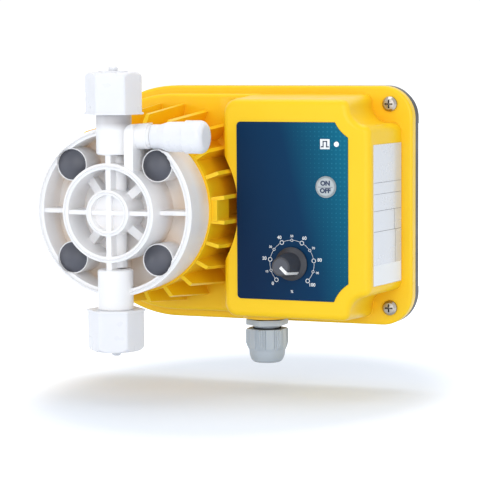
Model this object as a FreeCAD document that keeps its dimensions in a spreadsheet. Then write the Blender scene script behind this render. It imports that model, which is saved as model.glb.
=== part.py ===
import FreeCAD, Part
import math
import os
import Sketcher
from FreeCAD import Placement, Rotation, Vector

# Wall-mounted diaphragm metering pump, in millimetres.
# The origin is the centre of the four wall holes, on the plane of the rear pads.
# X runs to the right along the wall, Z up, and the front of the pump looks towards -Y.
# A depth is a distance in front of the wall, so a point at depth d lies at Y = -d.

SIZES = {
    # casing outline, seen from the front: a half circle at the left, round corners at the right
    "head_x": -34.0,
    "casing_radius": 60.0,
    "casing_right": 94.0,
    "casing_corner": 16.0,
    # casing depths
    "pad_depth": 2.0,
    "seam_depth": 8.0,
    "flange_depth": 13.5,
    "plinth_depth": 18.5,
    "face_depth": 50.0,
    "head_depth": 66.3,
    "flange_border": 4.0,
    "flange_border_right": 5.5,
    "flange_rounding": 1.4,
    "plinth_rounding": 2.0,
    "wall": 3.0,
    # how far a feature reaches into the one that it stands on
    "bite": 0.5,
    # console block
    "console_left": 7.4,
    "console_right": 84.0,
    "console_half": 54.0,
    "console_corner": 7.0,
    "console_edge": 3.2,
    "console_draft": 1.0,
    "foot_radius": 14.5,
    "foot_lean": 0.4,
    "scallop_radius": 9.3,
    "scallop_shoulder": 4.2,
    # solenoid housing
    "core_radius": 41.4,
    "collar_radius": 41.9,
    "collar_length": 4.5,
    "fin_zone_radius": 49.5,
    "fin_zone_depth": 26.0,
    "fin_count": 24,
    "fin_thickness": 1.9,
    "fin_front_radius": 47.3,
    "fin_root_radius": 51.2,
    "fin_nose": 3.6,
    "fin_setback": 1.0,
    "bridge_radius": 44.6,
    "bridge_length": 15.0,
    "bridge_width": 10.3,
    "front_wall": 4.0,
    "front_bore": 22.0,
    # rear cover
    "cover_floor": 2.5,
    "cover_wall": 4.0,
    "cover_boss": 6.0,
    "cover_pilot_floor": 0.5,
    "pad_inset": 0.8,
    "wall_hole_x": 56.0,
    "wall_hole_z": 48.0,
    "wall_hole_radius": 2.6,
    "wall_hole_length": 6.8,
    "wall_boss_radius": 5.0,
    "pad_height": 19.0,
    "pad_inner_x": 46.0,
    "gasket_inset": 1.2,
    "gasket_width": 1.6,
    "gasket_thickness": 0.8,
    # casing screws at the right, cover screws at the left
    "screw_x": 82.5,
    "screw_z": 51.0,
    "screw_radius": 2.0,
    "screw_head_radius": 3.7,
    "screw_head_height": 2.6,
    "screw_length": 10.5,
    "screw_pilot": 2.05,
    "screw_clearance": 0.25,
    "screw_boss": 6.5,
    "cover_screw_x": -73.0,
    "cover_screw_z": 30.0,
    "cover_screw_length": 9.0,
    "cover_screw_sink": 2.9,
    "sink_gap": 0.3,
    "screw_point": 0.5,
    # control panel
    "panel_left": 15.0,
    "panel_right": 73.1,
    "panel_top": 43.0,
    "panel_bottom": -44.6,
    "panel_corner": 2.0,
    "panel_notch": 18.0,
    "panel_thickness": 1.2,
    "panel_recess": 0.8,
    "panel_clearance": 0.1,
    # status light, button and dial
    "led_x": 67.35,
    "led_z": 32.5,
    "led_radius": 1.25,
    "led_length": 5.0,
    "led_gap": 0.1,
    "led_rim": 0.2,
    "led_dome": 0.7,
    "button_x": 61.9,
    "button_z": 11.6,
    "button_radius": 4.6,
    "button_proud": 1.1,
    "button_height": 2.4,
    "button_gap": 0.08,
    "button_stem": 1.5,
    "button_travel": 0.8,
    "button_bevel": 0.5,
    "bezel_radius": 4.95,
    "bezel_proud": 0.5,
    "bezel_lip": 0.4,
    "bezel_gap": 0.02,
    "dial_x": 44.0,
    "dial_z": -26.5,
    "knob_gap": 0.6,
    "knob_edge": 0.8,
    "knob_fillet": 0.5,
    "knob_bevel": 0.5,
    "knob_skirt_radius": 8.25,
    "knob_skirt_height": 2.4,
    "knob_base_radius": 6.0,
    "knob_tip_radius": 4.65,
    "knob_length": 15.3,
    "knob_cap_radius": 3.9,
    "knob_cap_thickness": 0.8,
    "knob_cap_crown": 0.3,
    "knob_pointer_width": 1.5,
    "knob_pointer_sink": 0.7,
    "knob_pointer_proud": 0.25,
    "knob_pointer_start": 0.2,
    "knob_pointer_end": 0.6,
    "knob_angle": 134.0,
    "shaft_radius": 3.0,
    "shaft_gap": 0.06,
    "shaft_hole_gap": 0.5,
    "shaft_floor": 1.0,
    # electronics
    "board_gap": 1.0,
    "board_side_gap": 5.0,
    "board_half": 38.0,
    "board_thickness": 1.6,
    "post_length": 8.4,
    "post_radius": 3.2,
    "post_inset": 4.0,
    "board_screw_radius": 1.25,
    "board_screw_head": 2.75,
    "board_screw_height": 1.8,
    "board_screw_length": 6.5,
    "board_screw_gap": 0.15,
    "pilot_gap": 0.05,
    "pilot_room": 0.5,
    "pot_size": 16.0,
    "pot_depth": 6.5,
    "pot_collar": 1.0,
    "pot_collar_length": 1.5,
    "pot_floor": 0.5,
    "switch_size": 6.0,
    "switch_depth": 5.0,
    "switch_room": 0.3,
    "transformer_inset": 20.0,
    "transformer_z": 17.0,
    "transformer_width": 30.0,
    "transformer_height": 26.0,
    "transformer_depth": 18.0,
    "transformer_border": 2.0,
    "coil_overhang": 3.0,
    "capacitor_inset": 10.5,
    "capacitor_z": 20.0,
    "capacitor_radius": 8.0,
    "capacitor_length": 16.0,
    "capacitor_bead": 0.5,
    "terminal_inset": 16.0,
    "terminal_z": -26.0,
    "terminal_width": 22.0,
    "terminal_height": 9.0,
    "terminal_depth": 11.0,
    "terminal_well": 2.2,
    # rating label on the right wall of the console
    "label_height": 69.0,
    "label_width": 31.5,
    "label_z": -2.4,
    "label_thickness": 0.3,
    "label_lift": 0.02,
    # cable gland under the casing
    "gland_x": 23.4,
    "gland_seat_z": 56.0,
    "gland_seat_radius": 12.0,
    "gland_seat_rise": 1.0,
    "gland_thread": 7.6,
    "gland_hole_gap": 0.2,
    "gland_inside": 10.5,
    "gland_washer": 0.8,
    "gland_flat": 9.3,
    "gland_flange": 2.8,
    "gland_neck": 1.8,
    "gland_neck_radius": 6.45,
    "gland_bore": 5.2,
    "gland_nut_height": 4.0,
    "gland_dome_flat": 9.5,
    "gland_dome_grip": 10.6,
    "gland_dome_length": 17.0,
    "gland_dome_radius": 9.1,
    "gland_dome_tip": 6.05,
    "gland_entry": 4.6,
    "gland_lower_thread": 7.0,
    "gland_grip": 8.0,
    "gland_seal_drop": 0.6,
    "gland_seal_rest": 1.0,
    "gland_fit": 0.1,
    "gland_nut_gap": 0.05,
    "gland_washer_inset": 0.4,
    "cable_radius": 3.5,
    # solenoid
    "plate_thickness": 6.0,
    "plate_gap": 0.3,
    "yoke_radius": 30.0,
    "yoke_wall": 4.5,
    "yoke_back": 17.0,
    "winding_gap": 1.0,
    "pole_radius": 11.4,
    "pole_length": 4.3,
    "bobbin_wall": 1.6,
    "bobbin_flange": 2.0,
    "bobbin_gap": 0.4,
    "armature_radius": 11.8,
    "armature_gap": 0.06,
    "armature_bevel": 0.5,
    "stroke": 1.25,
    "pole_clearance": 0.75,
    "rod_radius": 3.0,
    "rod_gap": 0.05,
    "rod_share": 0.31,
    "bush_radius": 5.0,
    "bush_lip": 1.5,
    "bush_lip_length": 1.0,
    "bush_setback": 0.5,
    "spring_radius": 6.0,
    "spring_wire": 0.5,
    "spring_pocket": 8.0,
    "spring_pocket_share": 0.385,
    "spring_turns": 6,
    "spring_steps": 12,
    "spring_sides": 6,
    "spring_seat_gap": 0.05,
    "buffer_radius": 8.0,
    "buffer_thickness": 2.2,
    "buffer_gap": 0.3,
    # diaphragm
    "diaphragm_radius": 26.0,
    "diaphragm_thickness": 2.4,
    "diaphragm_gap": 0.2,
    "diaphragm_roll": 14.0,
    "diaphragm_roll_width": 4.0,
    "diaphragm_roll_rise": 0.6,
    "diaphragm_rim_width": 5.5,
    "diaphragm_skin": 1.2,
    "diaphragm_skin_rise": 0.4,
    "insert_radius": 9.0,
    "insert_thickness": 1.8,
    "insert_border": 0.5,
    "insert_gap": 0.05,
    # pump head
    "head_radius": 40.7,
    "head_base": 5.7,
    "head_hub_base": 11.7,
    "rim_radius": 41.4,
    "rim_wall": 3.2,
    "rim_height": 24.5,
    "ring_radius": 24.2,
    "ring_wall": 2.9,
    "ring_height": 31.3,
    "hub_radius": 11.3,
    "hub_wall": 2.5,
    "hub_height": 31.7,
    "hub_hollow": 5.5,
    "rib_height": 28.9,
    "rib_outer_height": 21.7,
    "rib_upright": 2.7,
    "rib_level": 2.1,
    "rib_diagonal": 4.2,
    "rib_diagonal_height": 21.7,
    "rib_diagonal_fall": 5.0,
    "chamber_radius": 18.0,
    "chamber_depth": 3.5,
    "port_radius": 2.1,
    "chamber_port": 1.7,
    "chamber_rim": 2.0,
    # head screws
    "bolt_circle": 32.4,
    "boss_radius": 8.0,
    "boss_height": 21.8,
    "boss_sink_radius": 6.2,
    "boss_sink": 13.5,
    "bolt_radius": 2.45,
    "bolt_gap": 0.3,
    "bolt_head_radius": 4.25,
    "bolt_head_height": 5.0,
    "bolt_socket": 2.0,
    "bolt_bevel": 0.4,
    "bolt_tip_room": 0.5,
    "tap_gap": 0.03,
    "plug_sink": 0.2,
    "plug_radius": 7.5,
    "plug_dome": 2.8,
    "plug_stem": 5.0,
    "plug_gap": 0.1,
    # valves, above and below the head
    "valve_height": 21.7,
    "tube_radius": 4.6,
    "tube_setback": 3.3,
    "neck_radius": 8.7,
    "neck_inner": 28.0,
    "neck_outer": 47.4,
    "neck_end": 57.0,
    "neck_thread": 8.0,
    "neck_rounding": 1.2,
    "valve_pocket": 5.5,
    "valve_pocket_end": 33.0,
    "valve_gap": 0.1,
    "seat_length": 6.0,
    "seat_bore": 2.2,
    "ball_radius": 3.0,
    "ball_gap": 0.05,
    "ball_travel": 2.0,
    "cage_bore": 3.4,
    "cage_slot": 1.6,
    "valve_ring_wire": 0.85,
    "valve_ring_gap": 0.1,
    "cage_cut": 1.0,
    "nut_gap": 0.2,
    "nut_flat": 12.2,
    "nut_outer": 68.0,
    "nut_rounding": 3.4,
    "nut_corner": 1.6,
    "nut_fit": 0.1,
    "nut_lip": 0.5,
    "nut_lip_length": 1.0,
    "nut_turn": -12.0,
    "nut_disc_radius": 7.2,
    "nut_disc": 0.6,
    "nut_hole": 3.3,
    "nut_bore_end": 60.6,
    "nipple_radius": 2.2,
    "nipple_bore": 1.2,
    "nipple_tip": 70.6,
    "nipple_flange": 7.6,
    "nipple_flange_thickness": 2.4,
    "nipple_gap": 0.05,
    "nipple_shoulder_gap": 0.7,
    "nipple_shoulder_length": 2.0,
    "nipple_cone": 1.2,
    "nipple_point": 0.5,
    # bleed valve at the right of the upper neck
    "bleed_z": 37.0,
    "bleed_radius": 6.1,
    "bleed_start": -25.5,
    "bleed_seam": -14.8,
    "bleed_neck_radius": 5.6,
    "bleed_neck_end": -13.1,
    "bleed_bore": 4.0,
    "bleed_bore_start": -22.0,
    "bleed_gap": 0.06,
    "bleed_spindle_radius": 2.0,
    "bleed_spindle_core": 1.4,
    "bleed_spindle_reach": 4.0,
    "bleed_passage": 1.0,
    "bleed_groove": 3.0,
    "bleed_collar": 1.2,
    "bleed_setback": 0.5,
    "bleed_web_width": 4.8,
    "bleed_web_flat": 0.2,
    "bleed_web_bottom": 20.0,
    "bleed_web_height": 28.7,
    "bleed_knob_start": -12.7,
    "bleed_knob_shoulder": -8.8,
    "bleed_knob_cone": -4.6,
    "bleed_knob_neck": 5.9,
    "bleed_knob_radius": 7.4,
    "bleed_knob_step": 4.8,
    "bleed_knob_grip": 8.0,
    "bleed_knob_end": 14.9,
    "bleed_knob_rounding": 3.1,
    "bleed_knob_taper": 0.2,
    "bleed_knob_bevel": 0.4,
    "bleed_ring_wire": 0.8,
    "bleed_relief": 0.4,
}

doc = FreeCAD.newDocument("metering_pump")
sheet = doc.addObject("Spreadsheet::Sheet", "Sheet")
for row, (alias, value) in enumerate(SIZES.items(), start=1):
    sheet.set("A%d" % row, alias.replace("_", " "))
    sheet.set("B%d" % row, repr(value))
    sheet.setAlias("B%d" % row, alias)
doc.recompute()


class Size:
    """A length, angle or count together with the expression that works it out from the sheet."""

    def __init__(self, text, value):
        self.text = text
        self.value = value

    def joined(self, sign, other, value):
        return Size("(%s %s %s)" % (self.text, sign, other.text), value)

    def __add__(self, other):
        other = size(other)
        return self.joined("+", other, self.value + other.value)

    def __sub__(self, other):
        other = size(other)
        return self.joined("-", other, self.value - other.value)

    def __mul__(self, other):
        other = size(other)
        return self.joined("*", other, self.value * other.value)

    def __truediv__(self, other):
        other = size(other)
        return self.joined("/", other, self.value / other.value)

    def __radd__(self, other):
        return size(other) + self

    def __rsub__(self, other):
        return size(other) - self

    def __rmul__(self, other):
        return size(other) * self

    def __rtruediv__(self, other):
        return size(other) / self

    def __neg__(self):
        return Size("(-1 * %s)" % self.text, -self.value)


def size(value):
    """The value as a Size; a plain number stands for itself."""
    if isinstance(value, Size):
        return value
    return Size(repr(float(value)), float(value))


def root(square):
    return Size("sqrt(%s)" % square.text, math.sqrt(square.value))


def slope(rise, run):
    """The angle in degrees whose tangent is rise over run."""
    ratio = rise / run
    return Size("atan(%s)" % ratio.text, math.degrees(math.atan(ratio.value)))


class Sheet:
    """Gives each cell of the sheet as a Size, by its alias."""

    def __getattr__(self, alias):
        return Size("Sheet." + alias, float(sheet.get(alias)))


d = Sheet()
pieces = []
cuts = []


def bind(thing, path, value):
    """Ties one property of an object to a size."""
    thing.setExpression(path, size(value).text)


def piece(label, x=0, depth=0, z=0, kept=True):
    """A body whose own origin lies at x, depth and z; a kept one is written to a file."""
    body = doc.addObject("PartDesign::Body", label)
    body.Label = label
    bind(body, "Placement.Base.x", x)
    bind(body, "Placement.Base.y", -size(depth))
    bind(body, "Placement.Base.z", z)
    if kept:
        pieces.append(body)
    return body


def turn(body, axis, angle):
    """Turns a body about an axis through its own origin."""
    body.Placement = Placement(body.Placement.Base, Rotation(axis, 1))
    bind(body, "Placement.Rotation.Angle", angle)


def sketch(body, plane, name, along=0, shift_x=0, shift_y=0, tilt=None):
    """A sketch on one of the body's origin planes, moved along the plane's normal.

    On the XZ plane the normal looks forward, so that along is a depth.
    """
    role = plane + "_Plane"
    support = [feature for feature in body.Origin.OriginFeatures if feature.Role == role][0]
    drawing = body.newObject("Sketcher::SketchObject", body.Name + "_" + name)
    drawing.AttachmentSupport = [(support, "")]
    drawing.MapMode = "FlatFace"
    if tilt is not None:
        drawing.AttachmentOffset = Placement(Vector(), Rotation(Vector(0, 1, 0), 1))
        bind(drawing, "AttachmentOffset.Rotation.Angle", tilt)
    bind(drawing, "AttachmentOffset.Base.x", shift_x)
    bind(drawing, "AttachmentOffset.Base.y", shift_y)
    bind(drawing, "AttachmentOffset.Base.z", along)
    return drawing


def pin_point(drawing, edge, end, x, y):
    """Holds one point of a sketch at x and y from its origin."""
    for kind, place in (("DistanceX", size(x)), ("DistanceY", size(y))):
        index = drawing.addConstraint(Sketcher.Constraint(kind, -1, 1, edge, end, place.value))
        bind(drawing, "Constraints[%d]" % index, place)


def outline(drawing, points):
    """A closed outline. A point (x, y, radius) is reached by an arc, counterclockwise
    where the radius is positive and clockwise where it is negative."""
    ends = []
    for number, point in enumerate(points):
        before = points[number - 1]
        start = Vector(size(before[0]).value, size(before[1]).value, 0)
        stop = Vector(size(point[0]).value, size(point[1]).value, 0)
        if len(point) == 2:
            edge = drawing.addGeometry(Part.LineSegment(start, stop))
            ends.append((edge, 1, 2))
            continue
        bend = size(point[2])
        radius = abs(bend.value)
        chord = stop - start
        height = math.sqrt(max(radius ** 2 - chord.Length ** 2 / 4, 0))
        side = Vector(-chord.y, chord.x, 0).normalize()
        sign = 1 if bend.value > 0 else -1
        centre = (start + stop) * 0.5 + side * height * sign
        first, last = (start, stop) if sign > 0 else (stop, start)
        angles = [math.atan2(end.y - centre.y, end.x - centre.x) for end in (first, last)]
        circle = Part.Circle(centre, Vector(0, 0, 1), radius)
        edge = drawing.addGeometry(Part.ArcOfCircle(circle, angles[0], angles[1]))
        index = drawing.addConstraint(Sketcher.Constraint("Radius", edge, radius))
        bind(drawing, "Constraints[%d]" % index, bend if sign > 0 else -bend)
        ends.append((edge, 1, 2) if sign > 0 else (edge, 2, 1))
    for number, (edge, start, stop) in enumerate(ends):
        previous = ends[number - 1]
        drawing.addConstraint(Sketcher.Constraint("Coincident", previous[0], previous[2], edge, start))
    for (edge, start, stop), point in zip(ends, points):
        pin_point(drawing, edge, stop, point[0], point[1])


def circle(drawing, x, y, radius):
    centre = Vector(size(x).value, size(y).value, 0)
    edge = drawing.addGeometry(Part.Circle(centre, Vector(0, 0, 1), size(radius).value))
    pin_point(drawing, edge, 3, x, y)
    index = drawing.addConstraint(Sketcher.Constraint("Radius", edge, size(radius).value))
    bind(drawing, "Constraints[%d]" % index, radius)


def rectangle(drawing, left, right, low, high):
    outline(drawing, [(left, low), (right, low), (right, high), (left, high)])


def hexagon(drawing, flat):
    """A hexagon about the sketch's origin, with flats at the given distance on the x axis."""
    corner = size(flat) * 2 / math.sqrt(3)
    outline(drawing, [
        (flat, corner / -2), (flat, corner / 2), (0, corner),
        (-size(flat), corner / 2), (-size(flat), corner / -2), (0, -corner),
    ])


def feature(body, kind, name, drawing):
    made = body.newObject("PartDesign::" + kind, body.Name + "_" + name)
    made.Profile = drawing
    drawing.Visibility = False
    return made


def pad(body, name, drawing, length, back=False, both=False):
    made = feature(body, "Pad", name + "_pad", drawing)
    bind(made, "Length", length)
    made.Reversed = back
    if both:
        made.SideType = "Symmetric"
    return made


def cut(body, name, drawing, length, forward=False, both=False):
    """A pocket that runs against the sketch's normal, or along it when it cuts forward."""
    made = feature(body, "Pocket", name + "_pocket", drawing)
    bind(made, "Length", length)
    made.Reversed = forward
    if both:
        made.SideType = "Symmetric"
    cuts.append(made)
    return made


def revolve(body, name, drawing, axis="V_Axis"):
    made = feature(body, "Revolution", name + "_turning", drawing)
    made.ReferenceAxis = (drawing, [axis])
    made.Angle = 360
    return made


def groove(body, name, drawing, axis="V_Axis"):
    made = feature(body, "Groove", name + "_groove", drawing)
    made.ReferenceAxis = (drawing, [axis])
    made.Angle = 360
    cuts.append(made)
    return made


def round_edges(body, name, radius, wanted):
    """Fillets the edges of the body's tip for which wanted(edge) is true."""
    doc.recompute()
    tip = body.Tip
    names = ["Edge%d" % (number + 1) for number, edge in enumerate(tip.Shape.Edges) if wanted(edge)]
    made = body.newObject("PartDesign::Fillet", body.Name + "_" + name)
    made.Base = (tip, names)
    bind(made, "Radius", radius)
    return made


def lies_at(axis, place):
    """A test for edges that lie wholly in the plane where the axis has the given value."""
    low, high = axis + "Min", axis + "Max"

    def test(edge):
        box = edge.BoundBox
        return abs(getattr(box, low) - place) < 0.01 and abs(getattr(box, high) - place) < 0.01

    return test


def turned_forward(label, profile, x=0, z=0, kept=True):
    """A piece turned about an axis that looks forward; its profile is radii and depths."""
    body = piece(label, x=x, z=z, kept=kept)
    drawing = sketch(body, "XY", "profile")
    outline(drawing, [(point[0], -size(point[1])) + tuple(point[2:]) for point in profile])
    revolve(body, "profile", drawing)
    return body


def turned_upright(label, profile, x=0, depth=0, kept=True):
    """A piece turned about an upright axis; its profile is radii and heights."""
    body = piece(label, x=x, depth=depth, kept=kept)
    drawing = sketch(body, "XZ", "profile")
    outline(drawing, profile)
    revolve(body, "profile", drawing)
    return body


def group(label, body, places):
    """One node of like solids: a link to the body at each (x, depth, z)."""
    links = []
    for number, place in enumerate(places):
        link = doc.addObject("App::Link", "%s_%d" % (label, number + 1))
        link.LinkedObject = body
        link.LinkTransform = False
        bind(link, "Placement.Base.x", place[0])
        bind(link, "Placement.Base.y", -size(place[1]))
        bind(link, "Placement.Base.z", place[2])
        links.append(link)
    whole = doc.addObject("Part::Compound", label)
    whole.Label = label
    whole.Links = links
    pieces.append(whole)
    return whole


# Casing

def casing_outline(drawing, inset, inset_right=None):
    """The casing's outline moved inwards by the inset, clockwise from the upper left."""
    side = inset if inset_right is None else inset_right
    half = d.casing_radius - inset
    right = d.casing_right - side
    corner = d.casing_corner - inset
    outline(drawing, [
        (right - corner, half),
        (right, half - corner, -corner),
        (right, corner - half),
        (right - corner, -half, -corner),
        (d.head_x, -half),
        (d.head_x - half, 0, -half),
        (d.head_x, half, -half),
    ])


def plinth_outline(drawing, half, right):
    """A half circle about the head's axis whose sides run straight to the right."""
    outline(drawing, [
        (right, half),
        (right, -half),
        (d.head_x, -half),
        (d.head_x - half, 0, -half),
        (d.head_x, half, -half),
    ])


def console_outline(drawing, left, right, half, corner, scallop, shoulder, bay=None):
    """The console's outline with a scallop round each corner screw, clockwise from the upper left.

    A bay radius hollows the left side along a circle about the head's axis.
    """
    reach = scallop + shoulder
    top_x = d.screw_x - root(reach * reach - (half - shoulder - d.screw_z) * (half - shoulder - d.screw_z))
    side_z = d.screw_z - root(reach * reach - (right - shoulder - d.screw_x) * (right - shoulder - d.screw_x))
    share = scallop / reach
    first = (d.screw_x + (top_x - d.screw_x) * share, d.screw_z + (half - shoulder - d.screw_z) * share)
    second = (d.screw_x + (right - shoulder - d.screw_x) * share, d.screw_z + (side_z - d.screw_z) * share)
    points = [
        (left, half - corner),
        (left + corner, half, -corner),
        (top_x, half),
        (first[0], first[1], -shoulder),
        (second[0], second[1], scallop),
        (right, side_z, -shoulder),
        (right, -side_z),
        (second[0], -second[1], -shoulder),
        (first[0], -first[1], scallop),
        (top_x, -half, -shoulder),
        (left + corner, -half),
        (left, corner - half, -corner),
    ]
    if bay is not None:
        bay_z = root(bay * bay - (left - d.head_x) * (left - d.head_x))
        points += [(left, -bay_z), (left, bay_z, bay)]
    outline(drawing, points)


screw_places = [(d.screw_x, d.screw_z), (d.screw_x, -d.screw_z)]
cover_screw_places = [(d.cover_screw_x, d.cover_screw_z), (d.cover_screw_x, -d.cover_screw_z)]
bolt_offset = d.bolt_circle / math.sqrt(2)
bolt_places = [(bolt_offset * a, bolt_offset * b) for a, b in ((1, 1), (-1, 1), (-1, -1), (1, -1))]
fin_pitch = 360 / d.fin_count
cavity_depth = d.plinth_depth - d.wall
core_bore = d.core_radius - d.wall


def front_shell():
    """The moulded front: flange, plinth, console block and finned solenoid housing in one."""
    body = piece("front_shell")

    flange = sketch(body, "XZ", "flange", d.seam_depth)
    casing_outline(flange, size(0))
    pad(body, "flange", flange, d.flange_depth - d.seam_depth)
    round_edges(body, "flange_rounding", d.flange_rounding, lies_at("Y", -d.flange_depth.value))

    plinth = sketch(body, "XZ", "plinth", d.flange_depth)
    plinth_outline(plinth, d.casing_radius - d.flange_border,
                   d.console_left + d.console_corner + d.console_draft)
    pad(body, "plinth", plinth, d.plinth_depth - d.flange_depth)
    round_edges(body, "plinth_rounding", d.plinth_rounding, lies_at("Y", -d.plinth_depth.value))

    base = sketch(body, "XZ", "console_base", d.flange_depth)
    console_outline(base, d.console_left - d.console_draft, d.casing_right - d.flange_border_right,
                    d.casing_radius - d.flange_border, d.console_corner,
                    d.scallop_radius, d.scallop_shoulder)
    face = sketch(body, "XZ", "console_face", d.face_depth)
    console_outline(face, d.console_left, d.console_right, d.console_half, d.console_corner,
                    d.scallop_radius, d.scallop_shoulder)
    console = feature(body, "AdditiveLoft", "console", base)
    console.Sections = [face]
    console.Ruled = True
    round_edges(body, "console_edge", d.console_edge, lies_at("Y", -d.face_depth.value))

    foot_x = d.console_left - d.foot_radius
    foot_y = -(d.plinth_depth + d.foot_radius)
    foot = sketch(body, "XY", "foot")
    outline(foot, [
        (foot_x, -d.plinth_depth),
        (foot_x + d.foot_radius - d.foot_lean, foot_y, -d.foot_radius),
        (d.console_left + d.wall, foot_y),
        (d.console_left + d.wall, d.bite - d.plinth_depth),
        (foot_x, d.bite - d.plinth_depth),
    ])
    pad(body, "foot", foot, d.console_half * 2, both=True)

    # the space round the fins hollows the console's left side
    zone = sketch(body, "XZ", "fin_zone", d.face_depth)
    circle(zone, d.head_x, 0, d.fin_zone_radius)
    cut(body, "fin_zone", zone, d.face_depth - d.fin_zone_depth)

    core = sketch(body, "XY", "core", shift_x=d.head_x)
    collar_back = d.head_depth - d.collar_length
    outline(core, [(radius, -depth) for radius, depth in (
        (0, d.seam_depth), (d.core_radius + d.plinth_rounding, d.seam_depth),
        (d.core_radius + d.plinth_rounding, d.plinth_depth),
        (d.core_radius, d.plinth_depth + d.plinth_rounding),
        (d.core_radius, collar_back + d.core_radius - d.collar_radius),
        (d.collar_radius, collar_back), (d.collar_radius, d.head_depth), (0, d.head_depth),
    )])
    revolve(body, "core", core)

    bridge = sketch(body, "XY", "bridge", shift_x=d.head_x)
    fin_front = d.head_depth - d.fin_setback
    rectangle(bridge, d.core_radius - d.bite, d.bridge_radius, -fin_front, d.bridge_length - fin_front)
    pad(body, "bridge", bridge, d.bridge_width, both=True)

    fin = sketch(body, "XY", "fin", shift_x=d.head_x, tilt=fin_pitch / 2)
    outline(fin, [
        (d.core_radius - d.bite, d.bite - d.plinth_depth),
        (d.core_radius - d.bite, -fin_front),
        (d.collar_radius, -fin_front),
        (d.fin_front_radius, d.fin_nose - fin_front),
        (d.fin_root_radius, d.bite - d.plinth_depth),
    ])
    first = pad(body, "fin", fin, d.fin_thickness, both=True)
    doc.recompute()
    fins = body.newObject("PartDesign::PolarPattern", "fins")
    fins.Originals = [first]
    fins.Axis = (fin, ["V_Axis"])
    fins.Angle = 360
    bind(fins, "Occurrences", d.fin_count)
    body.Tip = fins

    # inside: behind the flange and plinth, inside the console, inside the housing
    tray = sketch(body, "XZ", "tray", d.seam_depth)
    casing_outline(tray, d.flange_border + d.wall, d.flange_border_right + d.wall)
    cut(body, "tray", tray, d.flange_depth - d.wall - d.seam_depth, forward=True)
    cavity = sketch(body, "XZ", "cavity", d.seam_depth)
    plinth_outline(cavity, d.casing_radius - d.flange_border - d.wall, d.console_left + d.console_corner)
    cut(body, "cavity", cavity, cavity_depth - d.seam_depth, forward=True)

    room = sketch(body, "XZ", "room", d.seam_depth)
    console_outline(room, d.console_left + d.wall, d.console_right - d.wall,
                    d.console_half - d.wall, d.console_corner - d.wall,
                    d.scallop_radius + d.wall, d.scallop_shoulder - d.wall,
                    bay=d.fin_zone_radius + d.wall)
    cut(body, "room", room, d.face_depth - d.wall - d.seam_depth, forward=True)

    bore = sketch(body, "XZ", "bore", d.seam_depth)
    circle(bore, d.head_x, 0, core_bore)
    cut(body, "bore", bore, d.head_depth - d.front_wall - d.seam_depth, forward=True)

    # bosses for the screws, posts for the circuit board and the seat of the cable gland
    right_bosses = sketch(body, "XZ", "right_bosses", d.seam_depth)
    for x, z in screw_places:
        circle(right_bosses, x, z, d.screw_boss)
    pad(body, "right_bosses", right_bosses, d.flange_depth - d.seam_depth - d.bite)
    left_bosses = sketch(body, "XZ", "left_bosses", d.seam_depth)
    for x, z in cover_screw_places:
        circle(left_bosses, x, z, d.screw_boss)
    pad(body, "left_bosses", left_bosses, cavity_depth - d.seam_depth + d.bite)
    posts = sketch(body, "XZ", "posts", board_front)
    for x, z in post_places:
        circle(posts, x, z, d.post_radius)
    pad(body, "posts", posts, d.face_depth - d.wall - board_front + d.bite)
    seat = sketch(body, "XY", "gland_seat", -d.gland_seat_z)
    circle(seat, d.gland_x, -gland_depth, d.gland_seat_radius)
    pad(body, "gland_seat", seat, d.gland_seat_z - inner_seat_z)

    front = sketch(body, "XZ", "front_bores", d.head_depth)
    circle(front, d.head_x, 0, d.front_bore)
    for x, z in bolt_places:
        circle(front, d.head_x + x, z, d.bolt_radius + d.bolt_gap)
    cut(body, "front_bores", front, d.front_wall)

    recess = sketch(body, "XZ", "panel_recess", d.face_depth)
    panel_outline(recess, d.panel_clearance)
    cut(body, "panel_recess", recess, d.panel_recess)
    holes = sketch(body, "XZ", "panel_holes", d.face_depth)
    for x, z, radius in panel_holes:
        circle(holes, x, z, radius)
    cut(body, "panel_holes", holes, d.wall)

    throughs = sketch(body, "XZ", "screw_holes", d.flange_depth)
    for x, z in screw_places:
        circle(throughs, x, z, d.screw_radius + d.screw_clearance)
    cut(body, "screw_holes", throughs, d.flange_depth - d.seam_depth)
    pilots = sketch(body, "XZ", "cover_screw_pilots", d.seam_depth)
    for x, z in cover_screw_places:
        circle(pilots, x, z, d.screw_pilot)
    cut(body, "cover_screw_pilots", pilots, cavity_depth - d.seam_depth, forward=True)
    board_pilots = sketch(body, "XZ", "board_pilots", board_front)
    for x, z in post_places:
        circle(board_pilots, x, z, d.board_screw_radius + d.pilot_gap)
    cut(body, "board_pilots", board_pilots, d.board_screw_length - d.board_thickness + d.pilot_room,
        forward=True)
    gland = sketch(body, "XY", "gland_hole", -d.gland_seat_z)
    circle(gland, d.gland_x, -gland_depth, d.gland_thread + d.gland_hole_gap)
    cut(body, "gland_hole", gland, d.gland_seat_z - inner_seat_z + d.bite, forward=True)
    return body


def panel_outline(drawing, gap):
    """The control panel's outline grown by a gap, with a notch about each right corner screw."""
    left = d.panel_left - gap
    right = d.panel_right + gap
    top = d.panel_top + gap
    bottom = d.panel_bottom - gap
    corner = d.panel_corner
    notch = d.panel_notch - gap
    above, below = top - d.screw_z, bottom + d.screw_z
    beside = right - d.screw_x
    outline(drawing, [
        (left, top - corner),
        (left + corner, top, -corner),
        (d.screw_x - root(notch * notch - above * above), top),
        (right, d.screw_z - root(notch * notch - beside * beside), notch),
        (right, root(notch * notch - beside * beside) - d.screw_z),
        (d.screw_x - root(notch * notch - below * below), bottom, notch),
        (left + corner, bottom),
        (left, bottom + corner, -corner),
    ])


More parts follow.
